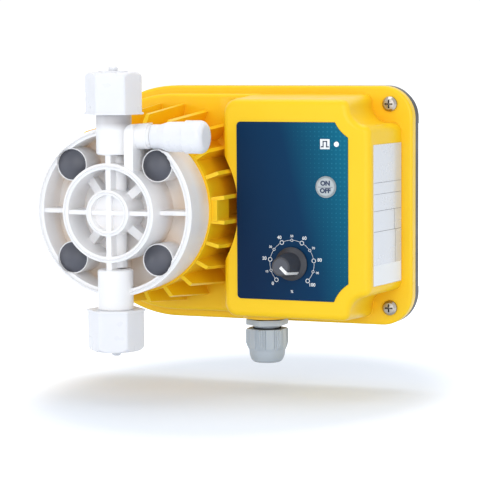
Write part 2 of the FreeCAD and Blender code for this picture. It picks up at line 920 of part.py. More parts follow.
inner_seat_z = d.console_half - d.wall - d.gland_seat_rise
gland_depth = (d.face_depth + d.flange_depth) / 2
board_front = d.face_depth - d.wall - d.post_length
board_depth = board_front - d.board_thickness
board_right = d.console_right - d.wall - d.board_side_gap
board_left = d.head_x + d.fin_zone_radius + d.wall + d.board_gap
post_places = [
    (x, z * sign) for x, z in (
        (board_left + d.post_inset, d.board_half - d.post_inset),
        (board_right - d.post_inset, d.board_half - d.post_inset),
    ) for sign in (1, -1)
]
panel_holes = [
    (d.led_x, d.led_z, d.led_radius + d.led_gap),
    (d.button_x, d.button_z, d.bezel_radius),
    (d.dial_x, d.dial_z, d.shaft_radius + d.shaft_hole_gap),
]


def rear_cover():
    """The rear cover: a shallow tray with four corner pads, drilled for the wall screws."""
    body = piece("rear_cover")
    plate = sketch(body, "XZ", "plate", d.pad_depth)
    casing_outline(plate, size(0))
    pad(body, "plate", plate, d.seam_depth - d.pad_depth)
    round_edges(body, "plate_rounding", d.flange_rounding, lies_at("Y", -d.pad_depth.value))

    low = d.casing_radius - d.pad_height
    inset = d.pad_inset
    half = d.casing_radius - inset
    right = d.casing_right - inset
    corner = d.casing_corner - inset
    arc_x = d.head_x - root(half * half - low * low)
    pads = sketch(body, "XZ", "pads")
    for sign in (1, -1):
        outline(pads, [
            (d.pad_inner_x, half * sign),
            (right - corner, half * sign),
            (right, (half - corner) * sign, -corner * sign),
            (right, low * sign),
            (d.pad_inner_x, low * sign),
        ])
        outline(pads, [
            (d.head_x, low * sign),
            (arc_x, low * sign),
            (d.head_x, half * sign, -half * sign),
        ])
    pad(body, "pads", pads, d.pad_depth + d.flange_rounding)

    tray = sketch(body, "XZ", "tray", d.seam_depth)
    casing_outline(tray, d.cover_wall)
    cut(body, "tray", tray, d.seam_depth - d.pad_depth - d.cover_floor)
    bosses = sketch(body, "XZ", "bosses", d.pad_depth + d.bite)
    for x, z in wall_holes:
        circle(bosses, x, z, d.wall_boss_radius)
    for x, z in screw_places + cover_screw_places:
        circle(bosses, x, z, d.cover_boss)
    pad(body, "bosses", bosses, d.seam_depth - d.pad_depth - d.bite)

    seal = sketch(body, "XZ", "seal", d.seam_depth)
    casing_outline(seal, d.gasket_inset)
    casing_outline(seal, d.gasket_inset + d.gasket_width)
    cut(body, "seal", seal, d.gasket_thickness)
    anchors = sketch(body, "XZ", "wall_holes")
    for x, z in wall_holes:
        circle(anchors, x, z, d.wall_hole_radius)
    cut(body, "wall_holes", anchors, d.wall_hole_length, forward=True)
    pilots = sketch(body, "XZ", "screw_pilots", d.seam_depth)
    for x, z in screw_places:
        circle(pilots, x, z, d.screw_pilot)
    cut(body, "screw_pilots", pilots, d.seam_depth - d.pad_depth - d.cover_pilot_floor)
    sinks = sketch(body, "XZ", "screw_sinks", d.pad_depth)
    for x, z in cover_screw_places:
        circle(sinks, x, z, d.screw_head_radius + d.sink_gap)
    cut(body, "screw_sinks", sinks, d.cover_screw_sink, forward=True)
    throughs = sketch(body, "XZ", "screw_holes", d.pad_depth)
    for x, z in cover_screw_places:
        circle(throughs, x, z, d.screw_radius + d.screw_clearance)
    cut(body, "screw_holes", throughs, d.seam_depth - d.pad_depth, forward=True)
    return body


wall_holes = [(d.wall_hole_x * a, d.wall_hole_z * b) for a, b in ((1, 1), (-1, 1), (-1, -1), (1, -1))]


def casing_gasket():
    """The flat cord that seals the seam between shell and cover."""
    body = piece("casing_gasket")
    ring = sketch(body, "XZ", "ring", d.seam_depth - d.gasket_thickness)
    casing_outline(ring, d.gasket_inset)
    casing_outline(ring, d.gasket_inset + d.gasket_width)
    pad(body, "ring", ring, d.gasket_thickness)


def pan_head_screw(label, depth, length, forward):
    """A pan-head screw with a cross recess; its head stands on the given depth.

    A forward screw has its head at the front of its shank, the other kind at the back.
    """
    sign = 1 if forward else -1
    crown = d.screw_head_height
    body = turned_forward(label, [
        (0, depth - length * sign),
        (d.screw_radius - d.screw_point, depth - length * sign),
        (d.screw_radius, depth - (length - d.screw_point * 2) * sign),
        (d.screw_radius, depth),
        (d.screw_head_radius, depth),
        (d.screw_head_radius, depth + crown * 0.45 * sign),
        (d.screw_head_radius * 0.72, depth + crown * 0.9 * sign),
        (0, depth + crown * sign),
    ], kept=False)
    cross = sketch(body, "XZ", "cross", depth + crown * sign)
    arm, width = d.screw_head_radius * 0.55, d.screw_radius * 0.2
    outline(cross, [
        (arm, -width), (arm, width), (width, width), (width, arm), (-width, arm), (-width, width),
        (-arm, width), (-arm, -width), (-width, -width), (-width, -arm), (width, -arm),
        (width, -width),
    ])
    cut(body, "cross", cross, crown * 0.6, forward=not forward)
    return body


def control_panel():
    """The front plate, let into the console's face."""
    body = piece("control_panel")
    plate = sketch(body, "XZ", "plate", d.face_depth - d.panel_recess)
    panel_outline(plate, size(0))
    for x, z, radius in panel_holes:
        circle(plate, x, z, radius)
    pad(body, "plate", plate, d.panel_thickness)


def button_and_light():
    """The status light, the bezel and the sprung push button that presses its switch."""
    panel_front = d.face_depth - d.panel_recess + d.panel_thickness
    turned_forward("status_led", [
        (0, panel_front - d.led_length),
        (d.led_radius, panel_front - d.led_length),
        (d.led_radius, panel_front + d.led_rim),
        (d.led_radius * 0.6, panel_front + d.led_dome * 0.9),
        (0, panel_front + d.led_dome),
    ], x=d.led_x, z=d.led_z)
    bezel_front = panel_front + d.bezel_proud
    bezel_bore = d.button_radius + d.button_gap
    turned_forward("onoff_bezel", [
        (bezel_bore, d.face_depth - d.wall),
        (d.bezel_radius - d.bezel_gap, d.face_depth - d.wall),
        (d.bezel_radius - d.bezel_gap, panel_front),
        (d.bezel_radius + d.bezel_lip, panel_front),
        (d.bezel_radius + d.bezel_lip * 0.7, bezel_front),
        (bezel_bore, bezel_front),
    ], x=d.button_x, z=d.button_z)
    button_front = panel_front + d.button_proud
    button_back = button_front - d.button_height
    turned_forward("onoff_button", [
        (0, switch_front - d.button_travel),
        (d.button_stem, switch_front - d.button_travel),
        (d.button_stem, button_back),
        (d.button_radius, button_back),
        (d.button_radius, button_front - d.button_bevel),
        (d.button_radius - d.button_bevel, button_front),
        (0, button_front),
    ], x=d.button_x, z=d.button_z)
    body = piece("tact_switch", x=d.button_x, z=d.button_z)
    block = sketch(body, "XZ", "block", board_front)
    half = d.switch_size / 2
    rectangle(block, -half, half, -half, half)
    pad(body, "block", block, d.switch_depth)
    well = sketch(body, "XZ", "well", switch_front)
    circle(well, 0, 0, d.button_stem + d.button_gap)
    cut(body, "well", well, d.button_travel * 2 + d.switch_room)


switch_front = board_front + d.switch_depth


def dial():
    """The potentiometer with its shaft, and the knob with its cap and pointer."""
    panel_front = d.face_depth - d.panel_recess + d.panel_thickness
    low = panel_front + d.knob_gap
    high = low + d.knob_length
    shaft_end = low + d.knob_length * 0.6
    knob = turned_forward("rate_knob", [
        (d.shaft_radius, low),
        (d.knob_skirt_radius, low),
        (d.knob_skirt_radius, low + d.knob_edge),
        (d.knob_base_radius + d.knob_fillet, low + d.knob_skirt_height),
        (d.knob_base_radius, low + d.knob_skirt_height + d.knob_fillet),
        (d.knob_tip_radius, high - d.knob_bevel),
        (d.knob_tip_radius - d.knob_bevel, high),
        (0, high),
        (0, shaft_end),
        (d.shaft_radius, shaft_end),
    ], x=d.dial_x, z=d.dial_z)
    turn(knob, Vector(0, 1, 0), d.knob_angle)
    well = sketch(knob, "XZ", "cap_well", high)
    circle(well, 0, 0, d.knob_cap_radius)
    cut(knob, "cap_well", well, d.knob_cap_thickness)
    slot = sketch(knob, "YZ", "pointer_slot")
    pointer_outline(slot, low, high, d.bite)
    cut(knob, "pointer_slot", slot, d.knob_pointer_width, both=True)
    cap = turned_forward("knob_cap", [
        (0, high - d.knob_cap_thickness),
        (d.knob_cap_radius, high - d.knob_cap_thickness),
        (d.knob_cap_radius, high + d.knob_cap_crown * 0.3),
        (d.knob_cap_radius - d.knob_cap_crown, high + d.knob_cap_crown),
        (0, high + d.knob_cap_crown),
    ], x=d.dial_x, z=d.dial_z)
    turn(cap, Vector(0, 1, 0), d.knob_angle)
    cap_slot = sketch(cap, "YZ", "pointer_slot")
    pointer_outline(cap_slot, low, high, d.bite)
    cut(cap, "pointer_slot", cap_slot, d.knob_pointer_width, both=True)
    pointer = piece("knob_pointer", x=d.dial_x, z=d.dial_z)
    turn(pointer, Vector(0, 1, 0), d.knob_angle)
    bar = sketch(pointer, "YZ", "bar")
    pointer_outline(bar, low, high, d.knob_pointer_proud)
    pad(pointer, "bar", bar, d.knob_pointer_width, both=True)

    turned_forward("pot_shaft", [
        (0, board_front + d.shaft_floor),
        (d.shaft_radius, board_front + d.shaft_floor),
        (d.shaft_radius, shaft_end),
        (0, shaft_end),
    ], x=d.dial_x, z=d.dial_z)
    pot = piece("potentiometer", x=d.dial_x, z=d.dial_z)
    block = sketch(pot, "XZ", "block", board_front)
    half = d.pot_size / 2
    rectangle(block, -half, half, -half, half)
    pad(pot, "block", block, d.pot_depth)
    bush = sketch(pot, "XZ", "bush", board_front + d.pot_depth)
    circle(bush, 0, 0, d.shaft_radius + d.pot_collar)
    pad(pot, "bush", bush, d.pot_collar_length)
    bore = sketch(pot, "XZ", "bore", board_front + d.pot_floor)
    circle(bore, 0, 0, d.shaft_radius + d.shaft_gap)
    cut(pot, "bore", bore, d.pot_depth + d.pot_collar_length - d.pot_floor, forward=True)


def pointer_outline(drawing, low, high, proud):
    """The pointer seen from the side: across the knob's face, then down its barrel."""
    sink = d.knob_pointer_sink
    tip = d.knob_tip_radius
    base = d.knob_base_radius
    bottom = low + d.knob_skirt_height + d.knob_pointer_end
    front = high + d.knob_cap_crown + proud
    floor = high - d.knob_cap_thickness
    outline(drawing, [
        (-front, d.knob_pointer_start),
        (-front, tip - d.knob_bevel + proud),
        (d.knob_bevel - high, tip + proud),
        (-bottom, base + proud),
        (-bottom, base - sink),
        (sink - floor, tip - sink),
        (-floor, tip - d.knob_cap_crown - sink),
        (-floor, d.knob_pointer_start),
    ])


def electronics():
    """The circuit board with its parts, on the posts behind the console's face."""
    board = piece("circuit_board")
    plate = sketch(board, "XZ", "plate", board_depth)
    rectangle(plate, board_left, board_right, -d.board_half, d.board_half)
    for x, z in post_places:
        circle(plate, x, z, d.board_screw_radius + d.board_screw_gap)
    pad(board, "plate", plate, d.board_thickness)
    screw = turned_forward("board_screw", [
        (0, board_depth - d.board_screw_height),
        (d.board_screw_head, board_depth - d.board_screw_height),
        (d.board_screw_head, board_depth),
        (d.board_screw_radius, board_depth),
        (d.board_screw_radius, board_depth + d.board_screw_length),
        (0, board_depth + d.board_screw_length),
    ], kept=False)
    group("board_screws", screw, [(x, 0, z) for x, z in post_places])

    core = piece("power_transformer", x=board_right - d.transformer_inset, z=d.transformer_z)
    block = sketch(core, "XZ", "block", board_depth)
    wide, tall = d.transformer_width / 2, d.transformer_height / 2
    rectangle(block, -wide, wide, -tall, tall)
    pad(core, "block", block, d.transformer_depth, back=True)
    coil = sketch(core, "XZ", "coil", board_depth - d.transformer_border)
    rectangle(coil, -wide - d.coil_overhang, wide + d.coil_overhang, -tall * 0.6, tall * 0.6)
    pad(core, "coil", coil, d.transformer_depth - d.transformer_border * 2, back=True)
    bead = d.capacitor_bead
    can_top = board_depth - d.capacitor_length
    turned_forward("drive_capacitor", [
        (0, can_top),
        (d.capacitor_radius - bead, can_top),
        (d.capacitor_radius, can_top + bead),
        (d.capacitor_radius, board_depth - bead * 6),
        (d.capacitor_radius - bead, board_depth - bead * 5),
        (d.capacitor_radius, board_depth - bead * 4),
        (d.capacitor_radius, board_depth),
        (0, board_depth),
    ], x=board_left + d.capacitor_inset, z=d.capacitor_z)
    block = piece("terminal_block", x=board_right - d.terminal_inset, z=d.terminal_z)
    body = sketch(block, "XZ", "body", board_depth)
    wide, tall = d.terminal_width / 2, d.terminal_height / 2
    rectangle(body, -wide, wide, -tall, tall)
    pad(block, "body", body, d.terminal_depth, back=True)
    wells = sketch(block, "XY", "wells", -tall)
    for number in (-1, 0, 1):
        circle(wells, d.terminal_width / 3 * number, -board_depth + d.terminal_depth * 0.55,
               d.terminal_well)
    cut(block, "wells", wells, d.terminal_height * 0.7, forward=True)


def rating_label():
    """The blank label on the console's right wall, which leans back to the flange."""
    run = d.face_depth - d.flange_depth
    rise = d.casing_right - d.flange_border_right - d.console_right
    lean = slope(rise, run)
    middle = (d.face_depth - d.console_edge + d.flange_depth) / 2
    place = d.console_right + rise * (d.face_depth - middle) / run
    body = piece("rating_label", x=place, depth=middle, z=d.label_z)
    turn(body, Vector(0, 0, 1), -lean)
    plate = sketch(body, "YZ", "plate", d.label_lift)
    rectangle(plate, d.label_width / -2, d.label_width / 2, d.label_height / -2, d.label_height / 2)
    pad(body, "plate", plate, d.label_thickness)


def cable_gland():
    """The gland under the casing: body, inner nut, washer, seal and dome nut."""
    top = -d.gland_seat_z
    flange_top = top - d.gland_washer
    flange_low = flange_top - d.gland_flange
    neck_low = flange_low - d.gland_neck
    place = {"x": d.gland_x, "depth": gland_depth}
    turned_upright("gland_washer", [
        (d.gland_thread + d.gland_fit, flange_top),
        (d.gland_flat - d.gland_washer_inset, flange_top),
        (d.gland_flat - d.gland_washer_inset, top),
        (d.gland_thread + d.gland_fit, top),
    ], **place)
    seal_top = neck_low - d.gland_seal_drop
    seal_low = seal_top - d.gland_grip
    body = turned_upright("gland_body", [
        (d.gland_bore, seal_low),
        (d.gland_lower_thread, seal_low),
        (d.gland_lower_thread, neck_low),
        (d.gland_neck_radius, neck_low),
        (d.gland_neck_radius, flange_low),
        (d.gland_thread, flange_low),
        (d.gland_thread, top + d.gland_inside),
        (d.gland_bore, top + d.gland_inside),
    ], **place)
    flange = sketch(body, "XY", "flange", flange_low)
    hexagon(flange, d.gland_flat)
    circle(flange, 0, 0, d.gland_neck_radius - d.bite)
    pad(body, "flange", flange, d.gland_flange)
    nut = piece("gland_locknut", **place)
    ring = sketch(nut, "XY", "ring", -inner_seat_z)
    hexagon(ring, d.gland_flat)
    circle(ring, 0, 0, d.gland_thread + d.gland_nut_gap)
    pad(nut, "ring", ring, d.gland_nut_height)
    turned_upright("gland_seal", [
        (d.cable_radius, seal_low), (d.gland_bore, seal_low), (d.gland_bore, seal_top),
        (d.cable_radius, seal_top),
    ], **place)

    dome_top = neck_low - d.gland_fit
    dome_low = dome_top - d.gland_dome_length
    grip_low = dome_top - d.gland_dome_grip
    dome = piece("gland_dome_nut", **place)
    prism = sketch(dome, "XY", "prism", grip_low)
    hexagon(prism, d.gland_dome_flat)
    pad(dome, "prism", prism, d.gland_dome_grip)
    bend = root((d.gland_dome_radius - d.gland_dome_tip) * (d.gland_dome_radius - d.gland_dome_tip)
                + (grip_low - dome_low) * (grip_low - dome_low)) * 0.8
    cap = sketch(dome, "XZ", "cap")
    outline(cap, [
        (0, grip_low), (0, dome_low), (d.gland_dome_tip, dome_low),
        (d.gland_dome_radius, grip_low, bend),
    ])
    revolve(dome, "cap", cap)
    hollow = sketch(dome, "XZ", "hollow")
    outline(hollow, [
        (0, dome_top), (0, dome_low), (d.gland_entry, dome_low),
        (d.gland_entry, seal_low - d.gland_seal_rest),
        (d.gland_lower_thread + d.gland_fit, seal_low - d.gland_seal_rest),
        (d.gland_lower_thread + d.gland_fit, dome_top),
    ])
    groove(dome, "hollow", hollow)


# Solenoid, on the head's axis. The plunger moves forward by the stroke when the coil is fed.

plate_front = d.head_depth - d.front_wall
plate_back = plate_front - d.plate_thickness
pole_face = plate_back - d.pole_length
armature_front = pole_face - d.stroke - d.pole_clearance
yoke_inner_back = d.yoke_back + d.yoke_wall
buffer_front = yoke_inner_back + d.buffer_thickness
armature_back = buffer_front + d.buffer_gap
pocket_floor = armature_front - (armature_front - armature_back) * d.spring_pocket_share
rod_end = pocket_floor - (armature_front - armature_back) * d.rod_share
bobbin_bore = d.armature_radius + d.armature_gap
insert_front = d.head_depth + d.diaphragm_gap


def solenoid():
    plate = turned_forward("yoke_plate", [
        (d.bush_radius, pole_face),
        (d.pole_radius, pole_face),
        (d.pole_radius, plate_back),
        (core_bore - d.plate_gap, plate_back),
        (core_bore - d.plate_gap, plate_front),
        (d.bush_radius, plate_front),
    ], x=d.head_x)
    taps = sketch(plate, "XZ", "taps", plate_front)
    for x, z in bolt_places:
        circle(taps, x, z, d.bolt_radius + d.tap_gap)
    cut(plate, "taps", taps, d.plate_thickness)
    turned_forward("yoke_shell", [
        (0, d.yoke_back),
        (d.yoke_radius, d.yoke_back),
        (d.yoke_radius, plate_back),
        (d.yoke_radius - d.yoke_wall, plate_back),
        (d.yoke_radius - d.yoke_wall, yoke_inner_back),
        (0, yoke_inner_back),
    ], x=d.head_x)
    inner = d.yoke_radius - d.yoke_wall - d.bobbin_gap
    tube = bobbin_bore + d.bobbin_wall
    turned_forward("coil_bobbin", [
        (bobbin_bore, yoke_inner_back),
        (inner, yoke_inner_back),
        (inner, yoke_inner_back + d.bobbin_flange),
        (tube, yoke_inner_back + d.bobbin_flange),
        (tube, plate_back - d.bobbin_flange),
        (inner, plate_back - d.bobbin_flange),
        (inner, plate_back),
        (bobbin_bore, plate_back),
    ], x=d.head_x)
    turned_forward("coil_winding", [
        (tube, yoke_inner_back + d.bobbin_flange),
        (inner - d.winding_gap, yoke_inner_back + d.bobbin_flange),
        (inner - d.winding_gap, plate_back - d.bobbin_flange),
        (tube, plate_back - d.bobbin_flange),
    ], x=d.head_x)
    turned_forward("armature", [
        (0, armature_back),
        (d.armature_radius - d.armature_bevel, armature_back),
        (d.armature_radius, armature_back + d.armature_bevel),
        (d.armature_radius, armature_front),
        (d.spring_pocket, armature_front),
        (d.spring_pocket, pocket_floor),
        (d.rod_radius, pocket_floor),
        (d.rod_radius, rod_end),
        (0, rod_end),
    ], x=d.head_x)
    turned_forward("rear_buffer", [
        (0, yoke_inner_back),
        (d.buffer_radius, yoke_inner_back),
        (d.buffer_radius, buffer_front),
        (0, buffer_front),
    ], x=d.head_x)
    turned_forward("push_rod", [
        (0, rod_end),
        (d.rod_radius, rod_end),
        (d.rod_radius, insert_front - d.insert_thickness),
        (0, insert_front - d.insert_thickness),
    ], x=d.head_x)
    bush_bore = d.rod_radius + d.rod_gap
    turned_forward("rod_bush", [
        (bush_bore, pole_face + d.bush_setback),
        (d.bush_radius, pole_face + d.bush_setback),
        (d.bush_radius, plate_front),
        (d.bush_radius + d.bush_lip, plate_front),
        (d.bush_radius + d.bush_lip, plate_front + d.bush_lip_length),
        (bush_bore, plate_front + d.bush_lip_length),
    ], x=d.head_x)
    return_spring()


def return_spring():
    """The coil spring that sends the plunger back: a bent wire between armature and pole face.

    Rings of corners stand across the wire at even steps, and flat triangles join them.
    """
    wire = d.spring_wire.value
    start = (pocket_floor + d.spring_seat_gap).value + wire
    end = (pole_face - d.spring_seat_gap).value - wire
    steps = int((d.spring_steps * d.spring_turns).value)
    sides = int(d.spring_sides.value)
    rings = []
    for step in range(steps + 1):
        turned = 2 * math.pi * step / d.spring_steps.value
        outward = Vector(math.cos(turned), 0, math.sin(turned))
        middle = outward * d.spring_radius.value - Vector(0, start + (end - start) * step / steps, 0)
        along = Vector(0, (start - end) / steps, 0) + outward.cross(Vector(0, -1, 0)) * (
            2 * math.pi * d.spring_radius.value / d.spring_steps.value)
        across = along.cross(outward).normalize()
        rings.append([
            middle + outward * wire * math.cos(2 * math.pi * side / sides)
            + across * wire * math.sin(2 * math.pi * side / sides)
            for side in range(sides)
        ])
    corners = []
    for low, high in zip(rings, rings[1:]):
        for side in range(sides):
            after = (side + 1) % sides
            corners.append([low[side], low[after], high[after]])
            corners.append([low[side], high[after], high[side]])
    corners += [rings[0], rings[-1]]
    faces = [Part.Face(Part.makePolygon(loop + loop[:1])) for loop in corners]
    shell = Part.makeShell(faces)
    shell.sewShape()
    coil = Part.makeSolid(shell)
    if coil.Volume < 0:
        coil.reverse()
    spring = doc.addObject("Part::Feature", "return_spring")
    spring.Label = "return_spring"
    spring.Shape = coil
    spring.Placement = Placement(Vector(d.head_x.value, 0, 0), Rotation())
    pieces.append(spring)


def diaphragm_parts():
    """The diaphragm, clamped at its rim between head and housing, and the insert behind it."""
    back = d.head_depth
    front = back + d.diaphragm_thickness
    skin = front - d.diaphragm_skin
    turned_forward("diaphragm", [
        (0, insert_front),
        (d.insert_radius + d.insert_border, insert_front),
        (d.diaphragm_roll, insert_front + d.diaphragm_roll_rise),
        (d.diaphragm_roll + d.diaphragm_roll_width, back),
        (d.diaphragm_radius, back),
        (d.diaphragm_radius, front),
        (d.diaphragm_radius - d.diaphragm_rim_width, front),
        (d.chamber_radius - d.diaphragm_skin, skin),
        (d.diaphragm_roll, skin + d.diaphragm_skin_rise * 2),
        (d.insert_radius, skin + d.diaphragm_skin_rise),
        (0, skin + d.diaphragm_skin_rise),
    ], x=d.head_x)
    turned_forward("diaphragm_insert", [
        (0, insert_front - d.insert_thickness),
        (d.insert_radius - d.insert_border, insert_front - d.insert_thickness),
        (d.insert_radius, insert_front - d.insert_thickness + d.insert_border),
        (d.insert_radius, insert_front - d.insert_gap),
        (0, insert_front - d.insert_gap),
    ], x=d.head_x)


# Pump head

rim_front = d.head_depth + d.rim_height
ring_front = d.head_depth + d.ring_height
hub_front = d.head_depth + d.hub_height
hub_floor = hub_front - d.hub_hollow
rib_front = d.head_depth + d.rib_height
rib_outer_front = d.head_depth + d.rib_outer_height
rib_diagonal_high = d.head_depth + d.rib_diagonal_height
rib_diagonal_low = rib_diagonal_high - d.rib_diagonal_fall
boss_front = d.head_depth + d.boss_height
boss_sink_floor = boss_front - d.boss_sink
plug_seat = boss_front - d.plug_sink
valve_depth = d.head_depth + d.valve_height
tube_depth = valve_depth - d.tube_setback
bleed_rounding = d.bleed_web_width - d.bleed_web_flat
bleed_web_front = d.head_depth + d.bleed_web_height


def ring_points(outer, wall, floor, front):
    """The profile of a standing ring with a rounded front edge, from outside to inside."""
    bead = wall / 2
    return [
        (outer, front - bead),
        (outer - bead, front, bead),
        (outer - wall, front - bead, bead),
        (outer - wall, floor),
    ]


def pump_head():
    """The moulded head: rim, rings, ribs, screw bosses, flow tubes, valve necks, bleed housing."""
    body = piece("pump_head", x=d.head_x)
    base = d.head_depth + d.head_base
    hub_base = d.head_depth + d.head_hub_base
    profile = [(0, d.head_depth), (d.head_radius, d.head_depth)]
    profile += ring_points(d.rim_radius, d.rim_wall, base, rim_front)
    profile += [(d.ring_radius, base)]
    profile += ring_points(d.ring_radius, d.ring_wall, hub_base, ring_front)
    profile += [(d.hub_radius, hub_base)]
    profile += ring_points(d.hub_radius, d.hub_wall, hub_floor, hub_front)
    profile += [(0, hub_floor)]
    rings = sketch(body, "XY", "rings")
    outline(rings, [(point[0], -point[1]) + tuple(point[2:]) for point in profile])
    revolve(body, "rings", rings)

    # ribs, each standing on the floor behind it
    upright = sketch(body, "XZ", "upright_rib", base - d.bite)
    half = d.rib_upright / 2
    rectangle(upright, -half, half, -d.neck_inner - d.bite, d.neck_inner + d.bite)
    pad(body, "upright_rib", upright, rib_front - base + d.bite)
    level = sketch(body, "XZ", "level_rib", base - d.bite)
    half = d.rib_level / 2
    reach = d.ring_radius - d.ring_wall / 2
    rectangle(level, -reach, reach, -half, half)
    pad(body, "level_rib", level, rib_front - base + d.bite)
    outer = sketch(body, "XZ", "outer_rib", base - d.bite)
    reach = d.rim_radius - d.rim_wall / 2
    rectangle(outer, -reach, reach, -half, half)
    pad(body, "outer_rib", outer, rib_outer_front - base + d.bite)
    diagonal = sketch(body, "XY", "diagonal_rib", tilt=45)
    outline(diagonal, [
        (d.hub_radius - d.hub_wall / 2, -(hub_base - d.bite)),
        (d.hub_radius - d.hub_wall / 2, -rib_diagonal_high),
        (d.ring_radius - d.ring_wall / 2, -rib_diagonal_low),
        (d.ring_radius - d.ring_wall / 2, -(hub_base - d.bite)),
    ])
    first = pad(body, "diagonal_rib", diagonal, d.rib_diagonal, both=True)
    doc.recompute()
    ribs = body.newObject("PartDesign::PolarPattern", "diagonal_ribs")
    ribs.Originals = [first]
    ribs.Axis = (diagonal, ["V_Axis"])
    ribs.Angle = 360
    ribs.Occurrences = 4
    body.Tip = ribs

    bosses = sketch(body, "XZ", "bosses", base - d.bite)
    for x, z in bolt_places:
        circle(bosses, x, z, d.boss_radius)
    pad(body, "bosses", bosses, boss_front - base + d.bite)

    for side, sign in (("upper", 1), ("lower", -1)):
        tube = sketch(body, "XY", side + "_tube", (d.hub_radius - d.hub_wall / 2) * sign,
                      shift_y=-tube_depth)
        circle(tube, 0, 0, d.tube_radius)
        pad(body, side + "_tube", tube, d.neck_inner + d.bite - d.hub_radius, back=sign < 0)
        neck = sketch(body, "XZ", side + "_neck", valve_depth)
        outline(neck, [
            (0, d.neck_inner * sign),
            (d.neck_radius - d.neck_rounding, d.neck_inner * sign),
            (d.neck_radius, (d.neck_inner + d.neck_rounding) * sign, d.neck_rounding * sign),
            (d.neck_radius, d.neck_outer * sign),
            (d.neck_thread, d.neck_outer * sign),
            (d.neck_thread, d.neck_end * sign),
            (0, d.neck_end * sign),
        ])
        revolve(body, side + "_neck", neck)

    bleed_housing(body, base)

    # hollows: screw holes, chamber behind, ports and valve pockets
    seats = sketch(body, "XZ", "plug_seats", rim_front)
    for x, z in bolt_places:
        circle(seats, x, z, d.plug_radius + d.plug_gap)
    cut(body, "plug_seats", seats, rim_front - plug_seat)
    sinks = sketch(body, "XZ", "screw_sinks", plug_seat)
    for x, z in bolt_places:
        circle(sinks, x, z, d.boss_sink_radius)
    cut(body, "screw_sinks", sinks, plug_seat - boss_sink_floor)
    holes = sketch(body, "XZ", "screw_holes", boss_sink_floor)
    for x, z in bolt_places:
        circle(holes, x, z, d.bolt_radius + d.bolt_gap)
    cut(body, "screw_holes", holes, boss_sink_floor - d.head_depth)
    recess = sketch(body, "XY", "recess")
    rim = d.head_depth + d.diaphragm_thickness
    outline(recess, [(radius, -depth) for radius, depth in (
        (0, d.head_depth), (d.diaphragm_radius + d.valve_gap, d.head_depth),
        (d.diaphragm_radius + d.valve_gap, rim),
        (d.chamber_radius + d.chamber_rim, rim), (d.chamber_radius * 0.5, rim + d.chamber_depth),
        (d.chamber_port, rim + d.chamber_depth), (d.chamber_port, tube_depth), (0, tube_depth),
    )])
    groove(body, "recess", recess)
    port = sketch(body, "XY", "port", shift_y=-tube_depth)
    circle(port, 0, 0, d.port_radius)
    cut(body, "port", port, (d.valve_pocket_end + d.bite) * 2, both=True)
    for side, sign in (("upper", 1), ("lower", -1)):
        pocket = sketch(body, "XY", side + "_pocket", d.neck_end * sign, shift_y=-valve_depth)
        circle(pocket, 0, 0, d.valve_pocket)
        cut(body, side + "_pocket", pocket, d.neck_end - d.valve_pocket_end, forward=sign < 0)
    bleed = sketch(body, "XZ", "bleed_bore", valve_depth)
    axis = d.bleed_z
    start = d.bleed_bore_start - d.head_x
    end = d.bleed_neck_end - d.head_x
    outline(bleed, [
        (d.neck_radius / 2, axis), (end, axis), (end, axis + d.bleed_bore),
        (start, axis + d.bleed_bore), (start - d.bleed_passage, axis + d.bleed_passage),
        (d.neck_radius / 2, axis + d.bleed_passage),
    ])
    lying_axis(bleed, axis)
    groove(body, "bleed_bore", bleed, "Axis0")
    relief = sketch(body, "XZ", "bleed_relief", valve_depth)
    edge = d.rim_radius + d.bite
    reach = axis + d.bleed_knob_radius + d.bleed_relief
    shoulder = axis + d.bleed_knob_neck + d.bleed_relief
    outline(relief, [
        (end, axis),
        (edge, axis),
        (edge, reach),
        (d.bleed_knob_cone - d.head_x, reach),
        (d.bleed_knob_shoulder - d.head_x, shoulder),
        (end, shoulder),
    ])
    lying_axis(relief, axis)
    groove(body, "bleed_relief", relief, "Axis0")
    return body


def lying_axis(drawing, height):
    """A level construction line, the first of its sketch, to turn a profile about."""
    length = size(10)
    ends = Vector(0, height.value, 0), Vector(length.value, height.value, 0)
    line = drawing.addGeometry(Part.LineSegment(*ends), True)
    pin_point(drawing, line, 1, 0, height)
    pin_point(drawing, line, 2, length, height)


def bleed_housing(body, base):
    """The lying housing of the bleed valve, with the upright web that carries its closed end."""
    axis = d.bleed_z
    start = d.bleed_start - d.head_x
    seam = d.bleed_seam - d.head_x
    end = d.bleed_neck_end - d.head_x
    inner = d.neck_radius / 2
    housing = sketch(body, "XZ", "bleed_housing", valve_depth)
    outline(housing, [
        (inner, axis),
        (end, axis),
        (end, axis + d.bleed_neck_radius),
        (seam, axis + d.bleed_neck_radius),
        (seam, axis + d.bleed_radius),
        (start + bleed_rounding, axis + d.bleed_radius),
        (start, axis + d.bleed_radius - bleed_rounding, bleed_rounding),
        (inner, axis + d.bleed_radius - bleed_rounding),
    ])
    lying_axis(housing, axis)
    revolve(body, "bleed_housing", housing, "Axis0")
    web = sketch(body, "XZ", "bleed_web", base - d.bite)
    top = axis + d.bleed_radius
    outline(web, [
        (start, d.bleed_web_bottom),
        (start + d.bleed_web_width, d.bleed_web_bottom),
        (start + d.bleed_web_width, top),
        (start + bleed_rounding, top),
        (start, top - bleed_rounding, bleed_rounding),
    ])
    pad(body, "bleed_web", web, bleed_web_front - base + d.bite)


